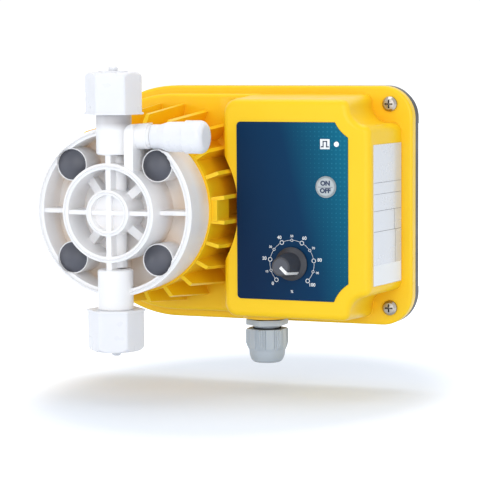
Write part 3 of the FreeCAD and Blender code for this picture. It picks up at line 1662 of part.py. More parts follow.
def head_fasteners():
    """The four socket screws that clamp the head, and the dark plugs over them."""
    tip = plate_back + d.bolt_tip_room
    screw = turned_forward("head_screw", [
        (0, tip),
        (d.bolt_radius - d.screw_point, tip),
        (d.bolt_radius, tip + d.screw_point * 2),
        (d.bolt_radius, boss_sink_floor),
        (d.bolt_head_radius, boss_sink_floor),
        (d.bolt_head_radius, boss_sink_floor + d.bolt_head_height - d.bolt_bevel),
        (d.bolt_head_radius - d.bolt_bevel, boss_sink_floor + d.bolt_head_height),
        (0, boss_sink_floor + d.bolt_head_height),
    ], kept=False)
    socket = sketch(screw, "XZ", "socket", boss_sink_floor + d.bolt_head_height)
    hexagon(socket, d.bolt_socket)
    cut(screw, "socket", socket, d.bolt_head_height * 0.6)
    group("head_screws", screw, [(d.head_x + x, 0, z) for x, z in bolt_places])
    sphere = (d.plug_radius * d.plug_radius + d.plug_dome * d.plug_dome) / (d.plug_dome * 2)
    plug = turned_forward("head_plug", [
        (0, plug_seat - d.plug_stem),
        (d.boss_sink_radius - d.plug_gap, plug_seat - d.plug_stem),
        (d.boss_sink_radius - d.plug_gap, plug_seat),
        (d.plug_radius, plug_seat),
        (0, plug_seat + d.plug_dome, -sphere),
    ], kept=False)
    group("head_screw_caps", plug, [(d.head_x + x, 0, z) for x, z in bolt_places])


# Valves. Both let the liquid pass upwards only: a ball lies on its seat below a cage.

def sealing_ring(label, centre, wire, axis, place):
    """An O-ring: a circle turned about the vertical or the horizontal axis of its sketch."""
    body = piece(label, **place)
    drawing = sketch(body, "XZ", "section")
    circle(drawing, centre[0], centre[1], wire)
    revolve(body, "section", drawing, axis)


def valve(side, sign):
    """Seat, ball, cage, sealing ring, nipple and cap nut of one valve; sign is the way out."""
    place = {"x": d.head_x, "depth": valve_depth}
    outer = d.valve_pocket - d.valve_gap
    stack_end = d.neck_end - d.valve_ring_wire * 2 - d.valve_ring_gap * 2
    low = d.valve_pocket_end if sign > 0 else -stack_end
    high = low + stack_end - d.valve_pocket_end
    face = low + d.seat_length
    turned_upright(side + "_seat", [
        (d.seat_bore, low), (outer, low), (outer, face), (d.seat_bore, face),
    ], **place)
    rest = root(d.ball_radius * d.ball_radius - d.seat_bore * d.seat_bore) + d.ball_gap
    centre = face + rest
    ball = piece(side + "_ball", **place)
    half = sketch(ball, "XZ", "half")
    outline(half, [
        (0, centre - d.ball_radius),
        (d.ball_radius, centre, d.ball_radius),
        (0, centre + d.ball_radius, d.ball_radius),
    ])
    revolve(ball, "half", half)
    stop = centre + d.ball_radius + d.ball_travel + d.valve_gap
    cage = turned_upright(side + "_cage", [
        (d.cage_bore, face), (outer, face), (outer, high), (d.cage_slot, high),
        (d.cage_slot, stop), (d.cage_bore, stop),
    ], **place)
    slots = sketch(cage, "XY", "slots", stop - d.cage_cut)
    reach, width = d.cage_bore + d.cage_cut, d.cage_slot / 2
    rectangle(slots, -reach, reach, -width, width)
    cut(cage, "slots", slots, high - stop + d.cage_cut, forward=True)
    wire = d.valve_ring_wire
    ring_z = (d.neck_end - wire - d.valve_ring_gap) * sign
    middle = outer - wire
    sealing_ring(side + "_o_ring", (middle, ring_z), wire, "V_Axis", place)

    base = (d.neck_end + d.nipple_gap) * sign
    top = base + d.nipple_flange_thickness * sign
    shoulder = d.nut_hole - d.nipple_shoulder_gap
    step = top + d.nipple_shoulder_length * sign
    tip = d.nipple_tip * sign
    turned_upright(side + "_nipple", [
        (d.nipple_bore, base), (d.nipple_flange, base), (d.nipple_flange, top),
        (shoulder, top), (shoulder, step), (d.nipple_radius, step + d.nipple_cone * sign),
        (d.nipple_radius, tip - d.nipple_point * sign),
        (d.nipple_radius - d.nipple_point, tip), (d.nipple_bore, tip),
    ], **place)
    cap_nut(side, sign, place)


def cap_nut(side, sign, place):
    """The hexagonal cap nut: a prism with rounded outer corners and a thin lip at its mouth."""
    inner = (d.neck_outer + d.nut_gap) * sign
    outer = d.nut_outer * sign
    corner = d.nut_flat * 2 / math.sqrt(3)
    nut = piece(side + "_cap_nut", **place)
    turn(nut, Vector(0, 0, 1), d.nut_turn)
    prism = sketch(nut, "XY", "prism", inner)
    hexagon(prism, d.nut_flat)
    pad(nut, "prism", prism, d.nut_outer - d.neck_outer - d.nut_gap, back=sign < 0)
    round_edges(nut, "corners", d.nut_corner, lambda edge: edge.BoundBox.ZLength > d.nut_rounding.value)
    lip = sketch(nut, "XY", "lip", inner)
    hexagon(lip, d.nut_flat + d.nut_lip)
    pad(nut, "lip", lip, d.nut_lip_length, back=sign < 0)
    disc = sketch(nut, "XY", "disc", outer)
    circle(disc, 0, 0, d.nut_disc_radius)
    pad(nut, "disc", disc, d.nut_disc, back=sign < 0)
    trim = sketch(nut, "XZ", "trim")
    away = corner + d.bite
    beyond = (d.nut_outer + d.bite) * sign
    outline(trim, [
        (away, (d.nut_outer - d.nut_rounding) * sign),
        (away, beyond),
        (corner - d.nut_rounding, beyond),
        (corner - d.nut_rounding, outer),
        (corner, (d.nut_outer - d.nut_rounding) * sign, -d.nut_rounding * sign),
    ])
    groove(nut, "trim", trim)
    hollow = sketch(nut, "XZ", "hollow")
    bore = d.neck_thread + d.nut_fit
    outline(hollow, [
        (0, inner), (bore, inner), (bore, d.nut_bore_end * sign), (d.nut_hole, d.nut_bore_end * sign),
        (d.nut_hole, (d.nut_outer + d.nut_disc) * sign), (0, (d.nut_outer + d.nut_disc) * sign),
    ])
    groove(nut, "hollow", hollow)


def bleed_valve():
    """The spindle that opens the bleed passage, its ring, and the round knob that turns it."""
    place = {"depth": valve_depth, "z": d.bleed_z}
    seat = d.bleed_bore_start
    bore = d.bleed_bore - d.bleed_gap
    collar_end = d.bleed_neck_end - d.bleed_setback
    groove_x = seat + d.bleed_groove
    core = d.bleed_spindle_core
    rear = groove_x - d.bleed_collar
    spindle_end = d.bleed_knob_step + d.bleed_spindle_reach
    wire = d.bleed_ring_wire
    parts = (
        ("bleed_spindle", [
            (seat - core * 0.45, 0), (seat + core * 0.35, core), (rear, core), (rear, bore),
            (groove_x - wire, bore), (groove_x - wire, bore - wire * 2),
            (groove_x + wire, bore - wire * 2), (groove_x + wire, bore), (collar_end, bore),
            (collar_end, d.bleed_spindle_radius),
            (spindle_end, d.bleed_spindle_radius), (spindle_end, 0),
        ]),
        ("bleed_knob", [
            (d.bleed_knob_start, d.bleed_spindle_radius),
            (d.bleed_knob_start, d.bleed_knob_neck),
            (d.bleed_knob_shoulder, d.bleed_knob_neck),
            (d.bleed_knob_cone, d.bleed_knob_radius - d.bleed_knob_taper),
            (d.bleed_knob_step - d.bleed_knob_bevel, d.bleed_knob_radius),
            (d.bleed_knob_step, d.bleed_knob_grip),
            (d.bleed_knob_end - d.bleed_knob_rounding, d.bleed_knob_grip),
            (d.bleed_knob_end, d.bleed_knob_grip - d.bleed_knob_rounding, -d.bleed_knob_rounding),
            (d.bleed_knob_end, 0),
            (spindle_end, 0),
            (spindle_end, d.bleed_spindle_radius),
        ]),
    )
    for label, profile in parts:
        body = piece(label, **place)
        drawing = sketch(body, "XZ", "profile")
        outline(drawing, profile)
        revolve(body, "profile", drawing, "H_Axis")
    sealing_ring("bleed_o_ring", (groove_x, bore - wire), wire * 0.95, "H_Axis", place)


front_shell()
rear_cover()
casing_gasket()
group("casing_screws", pan_head_screw("casing_screw", d.flange_depth, d.screw_length, True),
      [(x, 0, z) for x, z in screw_places])
group("cover_screws",
      pan_head_screw("cover_screw", d.pad_depth + d.cover_screw_sink, d.cover_screw_length, False),
      [(x, 0, z) for x, z in cover_screw_places])
control_panel()
button_and_light()
dial()
electronics()
rating_label()
cable_gland()
solenoid()
diaphragm_parts()
pump_head()
head_fasteners()
valve("discharge", 1)
valve("suction", -1)
bleed_valve()
doc.recompute()

for thing in doc.Objects:
    if "Invalid" in thing.State or "Error" in thing.State:
        raise ValueError("%s failed: %s" % (thing.Name, thing.State))
for made in cuts:
    if not made.Shape.Volume < made.BaseFeature.Shape.Volume - 1e-6:
        raise ValueError("%s cuts nothing" % made.Name)
os.makedirs("parts", exist_ok=True)
for kept in pieces:
    if kept.Shape.isNull() or not kept.Shape.isValid() or not kept.Shape.Solids:
        raise ValueError("%s has no valid solid" % kept.Label)
    kept.Shape.exportStep("parts/%s.step" % kept.Label)
print(len(pieces), "pieces written")
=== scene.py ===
import math

import bpy
import numpy as np
from mathutils import Matrix, Vector


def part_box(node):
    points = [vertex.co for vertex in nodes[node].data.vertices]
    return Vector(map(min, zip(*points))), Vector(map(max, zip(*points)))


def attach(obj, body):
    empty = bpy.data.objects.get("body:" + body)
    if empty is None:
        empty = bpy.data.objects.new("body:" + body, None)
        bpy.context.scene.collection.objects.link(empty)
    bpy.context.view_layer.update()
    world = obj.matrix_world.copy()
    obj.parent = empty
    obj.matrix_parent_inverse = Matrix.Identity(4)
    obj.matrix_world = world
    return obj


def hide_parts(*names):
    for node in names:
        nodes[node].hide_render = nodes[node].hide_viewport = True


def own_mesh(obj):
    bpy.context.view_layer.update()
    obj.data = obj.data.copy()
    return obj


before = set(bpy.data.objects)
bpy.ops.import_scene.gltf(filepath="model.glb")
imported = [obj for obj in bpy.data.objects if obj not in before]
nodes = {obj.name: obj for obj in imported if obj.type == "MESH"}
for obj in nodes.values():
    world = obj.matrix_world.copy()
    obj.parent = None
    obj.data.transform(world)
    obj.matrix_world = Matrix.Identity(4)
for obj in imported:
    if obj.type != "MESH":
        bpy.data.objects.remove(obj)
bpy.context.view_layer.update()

scene = bpy.context.scene
scene.view_settings.view_transform = "Standard"


# The camera stands a metre off, right of the pump's middle and a little above it, behind a
# long lens, so that the head stands out at the left and the right wall of the console shows.
azimuth, elevation, roll = np.radians((22.226, 5.26, -0.372))
target = Vector((0.01636, -0.05, -0.01561))
camera_distance, focal_pixels, picture_pixels, sensor_width = 1.07875, 2175.5, 480, 36
across = Vector((math.cos(azimuth), math.sin(azimuth), 0))
back = Vector((math.sin(azimuth) * math.cos(elevation), -math.cos(azimuth) * math.cos(elevation),
               math.sin(elevation)))
upward = back.cross(across)
camera = bpy.data.objects.new("camera", bpy.data.cameras.new("camera"))
camera.data.lens = sensor_width * focal_pixels / picture_pixels
camera.data.clip_start, camera.data.clip_end = 0.05, 30
camera.matrix_world = Matrix.Translation(target + back * camera_distance) @ Matrix((
    across * math.cos(roll) + upward * math.sin(roll),
    upward * math.cos(roll) - across * math.sin(roll),
    back,
)).transposed().to_4x4()
scene.collection.objects.link(camera)
scene.camera = camera


# The studio: a pale floor under the pump, a lamp high above that lays a soft shadow on it, broad
# weak lamps in front and at both sides, and an even white surround. The floor's white glow to the
# camera dims near the pump and so adds a painted shadow round the lamp's real one.
def node(tree, kind, inputs=None, **settings):
    """Adds a shader node. Inputs maps a socket's name or number to a value or another socket."""
    made = tree.nodes.new(kind)
    for key, value in settings.items():
        setattr(made, key, value)
    for key, value in (inputs or {}).items():
        if isinstance(value, bpy.types.NodeSocket):
            tree.links.new(value, made.inputs[key])
        else:
            made.inputs[key].default_value = value
    return made


def paint(code):
    """The linear colour of a hex colour code: each channel over 255, opened by the sRGB curve."""
    share = np.array([int(code[k:k + 2], 16) for k in (1, 3, 5)]) / 255
    opened = np.where(share < 0.04045, share / 12.92, ((share + 0.055) / 1.055) ** 2.4)
    return tuple(opened) + (1.0,)


def maths(tree, operation, first, second=0.5, **settings):
    """One step of arithmetic on two numbers or sockets."""
    return node(tree, "ShaderNodeMath", {0: first, 1: second}, operation=operation,
                **settings).outputs[0]


def ranged(tree, value, low, high, start, end, **settings):
    """Maps a value that runs from low to high onto start to end, and holds the ends."""
    return node(tree, "ShaderNodeMapRange", {0: value, 1: low, 2: high, 3: start, 4: end},
                **settings).outputs[0]


def white_to_camera(tree):
    """The share of rays that should see plain white: camera, mirror and glass rays."""
    path = node(tree, "ShaderNodeLightPath").outputs
    either = maths(tree, "MAXIMUM", path["Is Camera Ray"], path["Is Glossy Ray"])
    return maths(tree, "MAXIMUM", either, path["Is Transmission Ray"])


world = bpy.data.worlds.new("surround")
world.use_nodes = True
scene.world = world
sky = world.node_tree
sky.nodes.clear()
soft = node(sky, "ShaderNodeBackground", {"Color": paint("#FFFFFF"), "Strength": 0.65})
bright = node(sky, "ShaderNodeBackground", {"Color": paint("#FFFFFF"), "Strength": 1.05})
choice = node(sky, "ShaderNodeMixShader", {0: white_to_camera(sky), 1: soft.outputs[0],
                                           2: bright.outputs[0]})
node(sky, "ShaderNodeOutputWorld", {"Surface": choice.outputs[0]})

floor_height = -0.0935
floor_mesh = bpy.data.meshes.new("floor")
floor_reach = 6
floor_mesh.from_pydata([(x * floor_reach, y * floor_reach, floor_height)
                        for x, y in ((-1, -1), (1, -1), (1, 1), (-1, 1))], [], [(0, 1, 2, 3)])
floor = bpy.data.objects.new("floor", floor_mesh)
scene.collection.objects.link(floor)
floor_paint = bpy.data.materials.new("floor")
floor_paint.use_nodes = True
tree = floor_paint.node_tree
tree.nodes.clear()
matt = node(tree, "ShaderNodeBsdfDiffuse", {"Color": paint("#E6EDF7")})
spot = node(tree, "ShaderNodeNewGeometry").outputs["Position"]
shadow_middle = (0.016, -0.04, floor_height)
shadow_stretch = (1.0, 0.72, 1.0)
apart = node(tree, "ShaderNodeVectorMath", {0: spot, 1: shadow_middle}, operation="SUBTRACT")
drawn_in = node(tree, "ShaderNodeVectorMath", {0: apart.outputs["Vector"], 1: shadow_stretch},
                operation="MULTIPLY")
distance = node(tree, "ShaderNodeVectorMath", {0: drawn_in.outputs["Vector"]}, operation="LENGTH")
# Painted shadow: the glow seen by the camera is weak within an ellipse round shadow_middle, so
# the floor shows grey there beyond the lamp's real shadow.
fade = ranged(tree, distance.outputs["Value"], 0.08, 0.15, 0.165, 0.8,
              interpolation_type="SMOOTHSTEP")
glow = node(tree, "ShaderNodeEmission", {"Color": paint("#FFFFFF"), "Strength": fade})
none = node(tree, "ShaderNodeEmission", {"Color": paint("#FFFFFF"), "Strength": 0.0})
lit = node(tree, "ShaderNodeMixShader", {0: white_to_camera(tree), 1: none.outputs[0],
                                         2: glow.outputs[0]})
both = node(tree, "ShaderNodeAddShader", {0: matt.outputs[0], 1: lit.outputs[0]})
node(tree, "ShaderNodeOutputMaterial", {"Surface": both.outputs[0]})
floor_mesh.materials.append(floor_paint)

lamp_target = Vector((0.0, -0.04, 0.0))
for name, place, size, power in (("above", (-0.05, 0.15, 1.2), 0.8, 4),
                                 ("front", (0.4, -1.65, 0.3), 1.5, 10.5),
                                 ("left", (-1.2, -1.1, 0.1), 0.8, 3.5),
                                 ("side", (1.3, -0.9, 0.3), 0.8, 1.5)):
    lamp = bpy.data.objects.new(name, bpy.data.lights.new(name, "AREA"))
    lamp.data.shape = "DISK"
    lamp.data.size = size
    lamp.data.energy = power
    aim = (Vector(place) - lamp_target).to_track_quat("Z", "Y")
    lamp.matrix_world = Matrix.Translation(place) @ aim.to_matrix().to_4x4()
    scene.collection.objects.link(lamp)


# The front shell: flange, plinth, console block and finned solenoid housing, moulded in one from
# glass-filled yellow plastic. Painted shade darkens its corners and hollows, and a painted
# highlight lightens its edges.
def new_group(name, inputs, outputs):
    """An empty shader group. Inputs are (name, kind, value) and outputs (name, kind)."""
    made = bpy.data.node_groups.new(name, "ShaderNodeTree")
    for label, kind, value in inputs:
        socket = made.interface.new_socket(label, in_out="INPUT", socket_type="NodeSocket" + kind)
        socket.default_value = value
    for label, kind in outputs:
        made.interface.new_socket(label, in_out="OUTPUT", socket_type="NodeSocket" + kind)
    return made, node(made, "NodeGroupInput").outputs, node(made, "NodeGroupOutput").inputs


def blend_colours(tree, share, first, second):
    """First where the share is 0, second where it is 1."""
    mixed = node(tree, "ShaderNodeMix", {0: share, 6: first, 7: second}, data_type="RGBA")
    return mixed.outputs[2]


moulded, given, made = new_group("moulded", [
    ("Colour", "Color", (0.8, 0.8, 0.8, 1)), ("Painted shade", "Color", (0.4, 0.4, 0.4, 1)),
    ("Pale", "Color", (1, 1, 1, 1)), ("Cloud size", "Float", 30.0), ("Clouds", "Float", 0.2),
    ("Reach", "Float", 0.01), ("Depth", "Float", 0.6), ("Edge", "Float", 0.0008),
    ("Painted highlight share", "Float", 0.3), ("Gloss", "Float", 0.3), ("Dull", "Float", 0.45),
    ("Grain size", "Float", 2500.0),
], [("Colour", "Color"), ("Roughness", "Float"), ("Height", "Float")])
place = node(moulded, "ShaderNodeTexCoord").outputs["Object"]
clouds = node(moulded, "ShaderNodeTexNoise", {"Vector": place, "Scale": given["Cloud size"],
                                              "Detail": 3.0, "Roughness": 0.55})
cloud_share = maths(moulded, "MULTIPLY", clouds.outputs[0], given["Clouds"])
clouded = blend_colours(moulded, cloud_share, given["Colour"], given["Pale"])
# Painted shade: where ambient occlusion finds the surface hemmed in, the colour runs toward the
# painted shade colour.
open_sky = node(moulded, "ShaderNodeAmbientOcclusion", {"Distance": given["Reach"]}, samples=8)
hidden = maths(moulded, "SUBTRACT", 1.0, open_sky.outputs["AO"])
shade_amount = maths(moulded, "MULTIPLY", hidden, given["Depth"], use_clamp=True)
with_painted_shade = blend_colours(moulded, shade_amount, clouded, given["Painted shade"])
# Painted highlight: where the bevelled normal turns away from the true one, at edges, the colour
# runs toward the pale colour.
bent = node(moulded, "ShaderNodeBevel", {"Radius": given["Edge"]}, samples=4)
true_normal = node(moulded, "ShaderNodeNewGeometry").outputs["Normal"]
agree = node(moulded, "ShaderNodeVectorMath", {0: bent.outputs[0], 1: true_normal},
             operation="DOT_PRODUCT")
edge = ranged(moulded, agree.outputs["Value"], 0.995, 0.8, 0.0, 1.0)
highlight_share = maths(moulded, "MULTIPLY", edge, given["Painted highlight share"], use_clamp=True)
with_painted_highlight = blend_colours(moulded, highlight_share, with_painted_shade, given["Pale"])
patches = node(moulded, "ShaderNodeTexNoise", {"Vector": place, "Scale": 90.0, "Detail": 4.0})
sheen = ranged(moulded, patches.outputs[0], 0.3, 0.7, given["Gloss"], given["Dull"])
grain = node(moulded, "ShaderNodeTexNoise", {"Vector": place, "Scale": given["Grain size"],
                                             "Detail": 2.0})
moulded.links.new(with_painted_highlight, made["Colour"])
moulded.links.new(sheen, made["Roughness"])
moulded.links.new(grain.outputs[0], made["Height"])
grain_depth = 0.0002


def finished(name, group, values, bump, sockets):
    """A Principled material whose colour, roughness and relief come from a shader group."""
    finish = bpy.data.materials.new(name)
    finish.use_nodes = True
    tree = finish.node_tree
    shader = tree.nodes["Principled BSDF"]
    driver = node(tree, "ShaderNodeGroup", node_tree=group)
    for key, value in values.items():
        driver.inputs[key].default_value = value
    relief = node(tree, "ShaderNodeBump", {"Height": driver.outputs["Height"], "Strength": bump,
                                           "Distance": grain_depth})
    tree.links.new(driver.outputs["Colour"], shader.inputs["Base Color"])
    tree.links.new(driver.outputs["Roughness"], shader.inputs["Roughness"])
    tree.links.new(relief.outputs[0], shader.inputs["Normal"])
    for key, value in sockets.items():
        shader.inputs[key].default_value = value
    return finish


def plastic(name, colour, painted_shade, pale, bump=0.02, values=None, sockets=None):
    """A moulded plastic: the moulded group drives colour, roughness and grain."""
    colours = {"Colour": paint(colour), "Painted shade": paint(painted_shade), "Pale": paint(pale)}
    return finished(name, moulded, {**colours, **(values or {})}, bump, sockets or {})


def dress(finish, *names):
    """Puts a material in every slot of the named CAD nodes."""
    for name in names:
        for slot in nodes[name].material_slots:
            slot.material = finish


shell_yellow = plastic("shell_yellow", "#FFD000", "#EC9C08", "#FFE24A", bump=0.05,
                       values={"Cloud size": 14.0, "Clouds": 0.25, "Reach": 0.01, "Depth": 0.5,
                               "Edge": 0.0012, "Painted highlight share": 0.3, "Gloss": 0.3, "Dull": 0.42},
                       sockets={"Specular IOR Level": 0.35})
dress(shell_yellow, "front_shell")


# The rear cover: a shallow tray moulded in dark grey plastic, with four corner pads that rest
# on the wall. The gasket between it and the shell is black rubber, as all the seals are.
cover_grey = plastic("cover_grey", "#424348", "#26272A", "#5E5F65", bump=0.12,
                     values={"Gloss": 0.42, "Dull": 0.6, "Grain size": 1800.0, "Painted highlight share": 0.3})
dress(cover_grey, "rear_cover")
black_rubber = plastic("black_rubber", "#1B1B1C", "#0B0B0B", "#343435", bump=0.1,
                       values={"Gloss": 0.6, "Dull": 0.8})
dress(black_rubber, "casing_gasket", "gland_washer", "gland_seal", "rear_buffer",
      "discharge_o_ring", "suction_o_ring", "bleed_o_ring")


# The screws, shafts and springs: bright zinc-plated steel with a fine scratched grain, turned or
# cold-headed; painted shade darkens the cross recesses and other hollows.
turned, given, made = new_group("turned", [
    ("Colour", "Color", (0.6, 0.6, 0.6, 1)), ("Painted shade", "Color", (0.1, 0.1, 0.1, 1)),
    ("Scratch size", "Float", 1500.0), ("Gloss", "Float", 0.2), ("Dull", "Float", 0.4),
], [("Colour", "Color"), ("Roughness", "Float"), ("Height", "Float")])
place = node(turned, "ShaderNodeTexCoord").outputs["Object"]
scratch = node(turned, "ShaderNodeTexNoise", {"Vector": place, "Scale": given["Scratch size"],
                                              "Detail": 3.0})
recess_reach = 0.0025
# Painted shade: ambient occlusion darkens the recesses toward the painted shade colour.
open_sky = node(turned, "ShaderNodeAmbientOcclusion", {"Distance": recess_reach}, samples=8)
hidden = maths(turned, "SUBTRACT", 1.0, open_sky.outputs["AO"])
turned.links.new(blend_colours(turned, hidden, given["Colour"], given["Painted shade"]), made["Colour"])
sheen = ranged(turned, scratch.outputs[0], 0.3, 0.7, given["Gloss"], given["Dull"])
turned.links.new(sheen, made["Roughness"])
turned.links.new(scratch.outputs[0], made["Height"])


def metal(name, colour, painted_shade, bump=0.03, values=None):
    """A bare metal: the turned group drives colour, roughness and scratches."""
    colours = {"Colour": paint(colour), "Painted shade": paint(painted_shade)}
    return finished(name, turned, {**colours, **(values or {})}, bump, {"Metallic": 1.0})


screw_steel = metal("screw_steel", "#ABA59E", "#1E1A16")
dress(screw_steel, "casing_screws", "cover_screws", "board_screws", "pot_shaft", "push_rod",
      "return_spring", "head_screws")


# The electronics inside the console: a green lacquered board on four posts, with a
# transformer, a sleeved capacitor, a terminal block, a potentiometer and a push switch.
board_green = plastic("board_green", "#1F5A2C", "#12351A", "#3C8050",
                      values={"Cloud size": 200.0, "Clouds": 0.4, "Gloss": 0.2, "Dull": 0.35})
dress(board_green, "circuit_board")
terminal_green = plastic("terminal_green", "#2E8A4A", "#145026", "#5AB577")
dress(terminal_green, "terminal_block")
sleeve_blue = plastic("sleeve_blue", "#1C2C4C", "#0C1428", "#3C5078",
                      values={"Gloss": 0.18, "Dull": 0.3})
dress(sleeve_blue, "drive_capacitor")
part_black = plastic("part_black", "#222224", "#101011", "#3C3C40", bump=0.06)
dress(part_black, "tact_switch", "potentiometer", "coil_bobbin")
core_steel = metal("core_steel", "#6C6E72", "#1C1C1E", bump=0.08,
                   values={"Gloss": 0.35, "Dull": 0.6})
dress(core_steel, "power_transformer", "yoke_plate", "yoke_shell", "armature", "diaphragm_insert")


# The solenoid and the diaphragm behind the head: a copper winding, a brass bush for the push
# rod, and a white fluoropolymer diaphragm, the same smooth white as the valve balls.
winding_copper = plastic("winding_copper", "#9A5230", "#5A2A16", "#C88058", bump=0.2,
                         values={"Cloud size": 300.0, "Clouds": 0.5})
dress(winding_copper, "coil_winding")
bush_brass = metal("bush_brass", "#C9A25A", "#5A4420")
dress(bush_brass, "rod_bush")
smooth_white = plastic("smooth_white", "#EEEEEC", "#C8C8C4", "#FFFFFF",
                       values={"Gloss": 0.3, "Dull": 0.4})
dress(smooth_white, "diaphragm", "discharge_ball", "suction_ball")


# The return spring: six turns of steel wire between the armature's pocket and the fixed pole
# face. The armature presses it shorter; a copy of its mesh, with a mesh of its own, takes its
# place on the pump body.
spring_mesh = nodes["return_spring"].data.copy()
spring_mesh.transform(nodes["return_spring"].matrix_world)
spring = bpy.data.objects.new("wound_spring", spring_mesh)
scene.collection.objects.link(spring)
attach(spring, "pump_body")
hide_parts("return_spring")
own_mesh(spring)


# The pump head with its valves and bleed screw: translucent white polypropylene. A painted warm
# tint on its thin base plate between the rings stands for the yellow housing's light showing
# through, and painted shade greys the upper neck under the cap nut.
def painted_light_tint(finish, colour, axis, low, high, share):
    """Mixes a colour of painted light or shade in along an axis, in soft patches: the share grows
    from low to high.
    """
    tree = finish.node_tree
    shader = tree.nodes["Principled BSDF"]
    under = shader.inputs["Base Color"].links[0].from_socket
    place = node(tree, "ShaderNodeTexCoord").outputs["Object"]
    parts = node(tree, "ShaderNodeSeparateXYZ", {0: place})
    depth = ranged(tree, parts.outputs[axis], low, high, 0.0, share)
    patch = node(tree, "ShaderNodeTexNoise", {"Vector": place, "Scale": 45.0, "Detail": 1.0})
    patchy = ranged(tree, patch.outputs[0], 0.38, 0.62, 0.2, 1.0)
    both = maths(tree, "MULTIPLY", depth, patchy)
    tree.links.new(blend_colours(tree, both, under, paint(colour)), shader.inputs["Base Color"])


milky = {"Subsurface Weight": 0.3, "Subsurface Radius": (0.005, 0.0046, 0.0042),
         "Subsurface Scale": 1.0, "Specular IOR Level": 0.45}
head_white = plastic("head_white", "#FCFCFE", "#F2EAE4", "#FFFFFF", bump=0.03,
                     values={"Cloud size": 25.0, "Clouds": 0.3, "Reach": 0.012, "Depth": 0.2,
                             "Edge": 0.0007, "Painted highlight share": 0.5, "Gloss": 0.28, "Dull": 0.42},
                     sockets=milky)
base_front, base_back = -0.080, -0.0705
neck_shade_start, neck_shade_full = 0.040, 0.0435
# Painted light: a warm tint on the base plate for the yellow housing's light showing through it.
painted_light_tint(head_white, "#F6CFA0", "Y", base_front, base_back, 0.55)
# Painted shade: the upper neck greys toward the cap nut above it.
painted_light_tint(head_white, "#A39FA0", "Z", neck_shade_start, neck_shade_full, 0.9)
fitting_white = plastic("fitting_white", "#ECEEF4", "#D4D6DC", "#FAFBFF", bump=0.03,
                        values={"Cloud size": 25.0, "Clouds": 0.3, "Reach": 0.01, "Depth": 0.35,
                                "Edge": 0.0007, "Painted highlight share": 0.4, "Gloss": 0.25, "Dull": 0.4},
                        sockets=milky)
dress(head_white, "pump_head")
dress(fitting_white, "discharge_seat", "discharge_cage", "discharge_nipple", "discharge_cap_nut",
      "suction_seat", "suction_cage", "suction_nipple", "suction_cap_nut", "bleed_spindle",
      "bleed_knob")
plug_grey = plastic("plug_grey", "#4A4C56", "#26272C", "#6C6F7A", bump=0.08,
                    values={"Gloss": 0.38, "Dull": 0.52})
dress(plug_grey, "head_screw_caps")


# The cable gland under the casing: light blue-grey nylon, screwed into the shell's floor. The
# dome nut has six flats with fine grip ribs beside their corners, and a black ring lies between
# it and the neck above.
gland_grey = plastic("gland_grey", "#B2BDC8", "#858F99", "#D4DCE4", bump=0.05,
                     values={"Reach": 0.005, "Gloss": 0.28, "Dull": 0.42})
dress(gland_grey, "gland_body", "gland_locknut", "gland_dome_nut")
nut_low, nut_high = (np.array(corner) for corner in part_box("gland_dome_nut"))
nut_middle = (nut_low + nut_high) / 2
grip_height = 0.0106
dome_height = nut_high[2] - grip_height - nut_low[2]


def dome_nut(around):
    """The dome nut as one closed surface: angle round the axis, and a path down and back up.

    Grip radius = flat / cos(angle to the nearest flat's middle), less a rib wave near the
    corners, and never more than a cone that widens upwards from the lower edge. The dome is a
    quarter of an ellipse from dome_radius in to mouth_radius, and the bore runs back up inside
    it and widens to the thread.
    """
    flat_radius, corner_radius, cone_radius, top_chamfer = 0.0095, 0.01085, 0.0093, 0.0006
    rib_depth, rib_pitch, rib_start, rib_fade = 0.0005, *np.radians((6.4, 11, 3))
    dome_radius, mouth_radius, thread_radius, thread_end = 0.0091, 0.00605, 0.0071, 0.0096
    bore_radius, bore_end, edge = 0.0046, 0.0098, 0.0005
    half_side = math.pi / 6
    angle = np.linspace(2 * math.pi, 0, around, endpoint=False)[None, :]
    aside = (angle + half_side) % (2 * half_side) - half_side
    flat = flat_radius / np.cos(aside)
    near_corner = np.clip((np.abs(aside) - rib_start) / rib_fade, 0, 1)
    from_corner = half_side - np.abs(aside)
    wave = 0.5 - 0.5 * np.cos(from_corner / rib_pitch * 2 * math.pi)
    ribs = near_corner * rib_depth * wave
    height = np.array([0.0, edge, 0.001, 0.003, 0.005, 0.007, 0.0085, 0.0095, 0.0104,
                       grip_height])[:, None]
    cone = (cone_radius + np.clip(grip_height - height, 0, None) * 0.5
            - np.clip(edge - height, 0, None) * 2.2)
    corner = corner_radius - np.clip(top_chamfer - height, 0, None)
    grip = np.minimum(flat - ribs, np.minimum(cone, corner))
    turn = np.linspace(0, math.pi / 2, 14)[:, None]
    dome = mouth_radius + (dome_radius - mouth_radius) * np.cos(turn) + 0 * angle
    dome_down = grip_height + dome_height * np.sin(turn)
    bore = np.array([bore_radius, bore_radius, thread_radius, thread_radius])[:, None] + 0 * angle
    bore_down = np.array([grip_height + dome_height, bore_end, thread_end, 0.0])[:, None]
    radius = np.concatenate([grip, dome, bore])
    down = np.concatenate([height, dome_down, bore_down]) + 0 * angle
    points = np.stack([nut_middle[0] + radius * np.cos(angle),
                       nut_middle[1] + radius * np.sin(angle), nut_high[2] - down], axis=-1)
    return points.reshape(-1, 3), points.shape[0]


def ring_surface(middle, radius, wire, around, across):
    """A round ring lying level: distance = radius + wire * cos v, height = wire * sin v."""
    u = np.linspace(0, 2 * math.pi, around, endpoint=False)[None, :]
    v = np.linspace(0, 2 * math.pi, across, endpoint=False)[:, None]
    reach = radius + wire * np.cos(v)
    points = np.stack([middle[0] + reach * np.cos(u), middle[1] + reach * np.sin(u),
                       middle[2] + wire * np.sin(v) + 0 * u], axis=-1)
    return points.reshape(-1, 3)


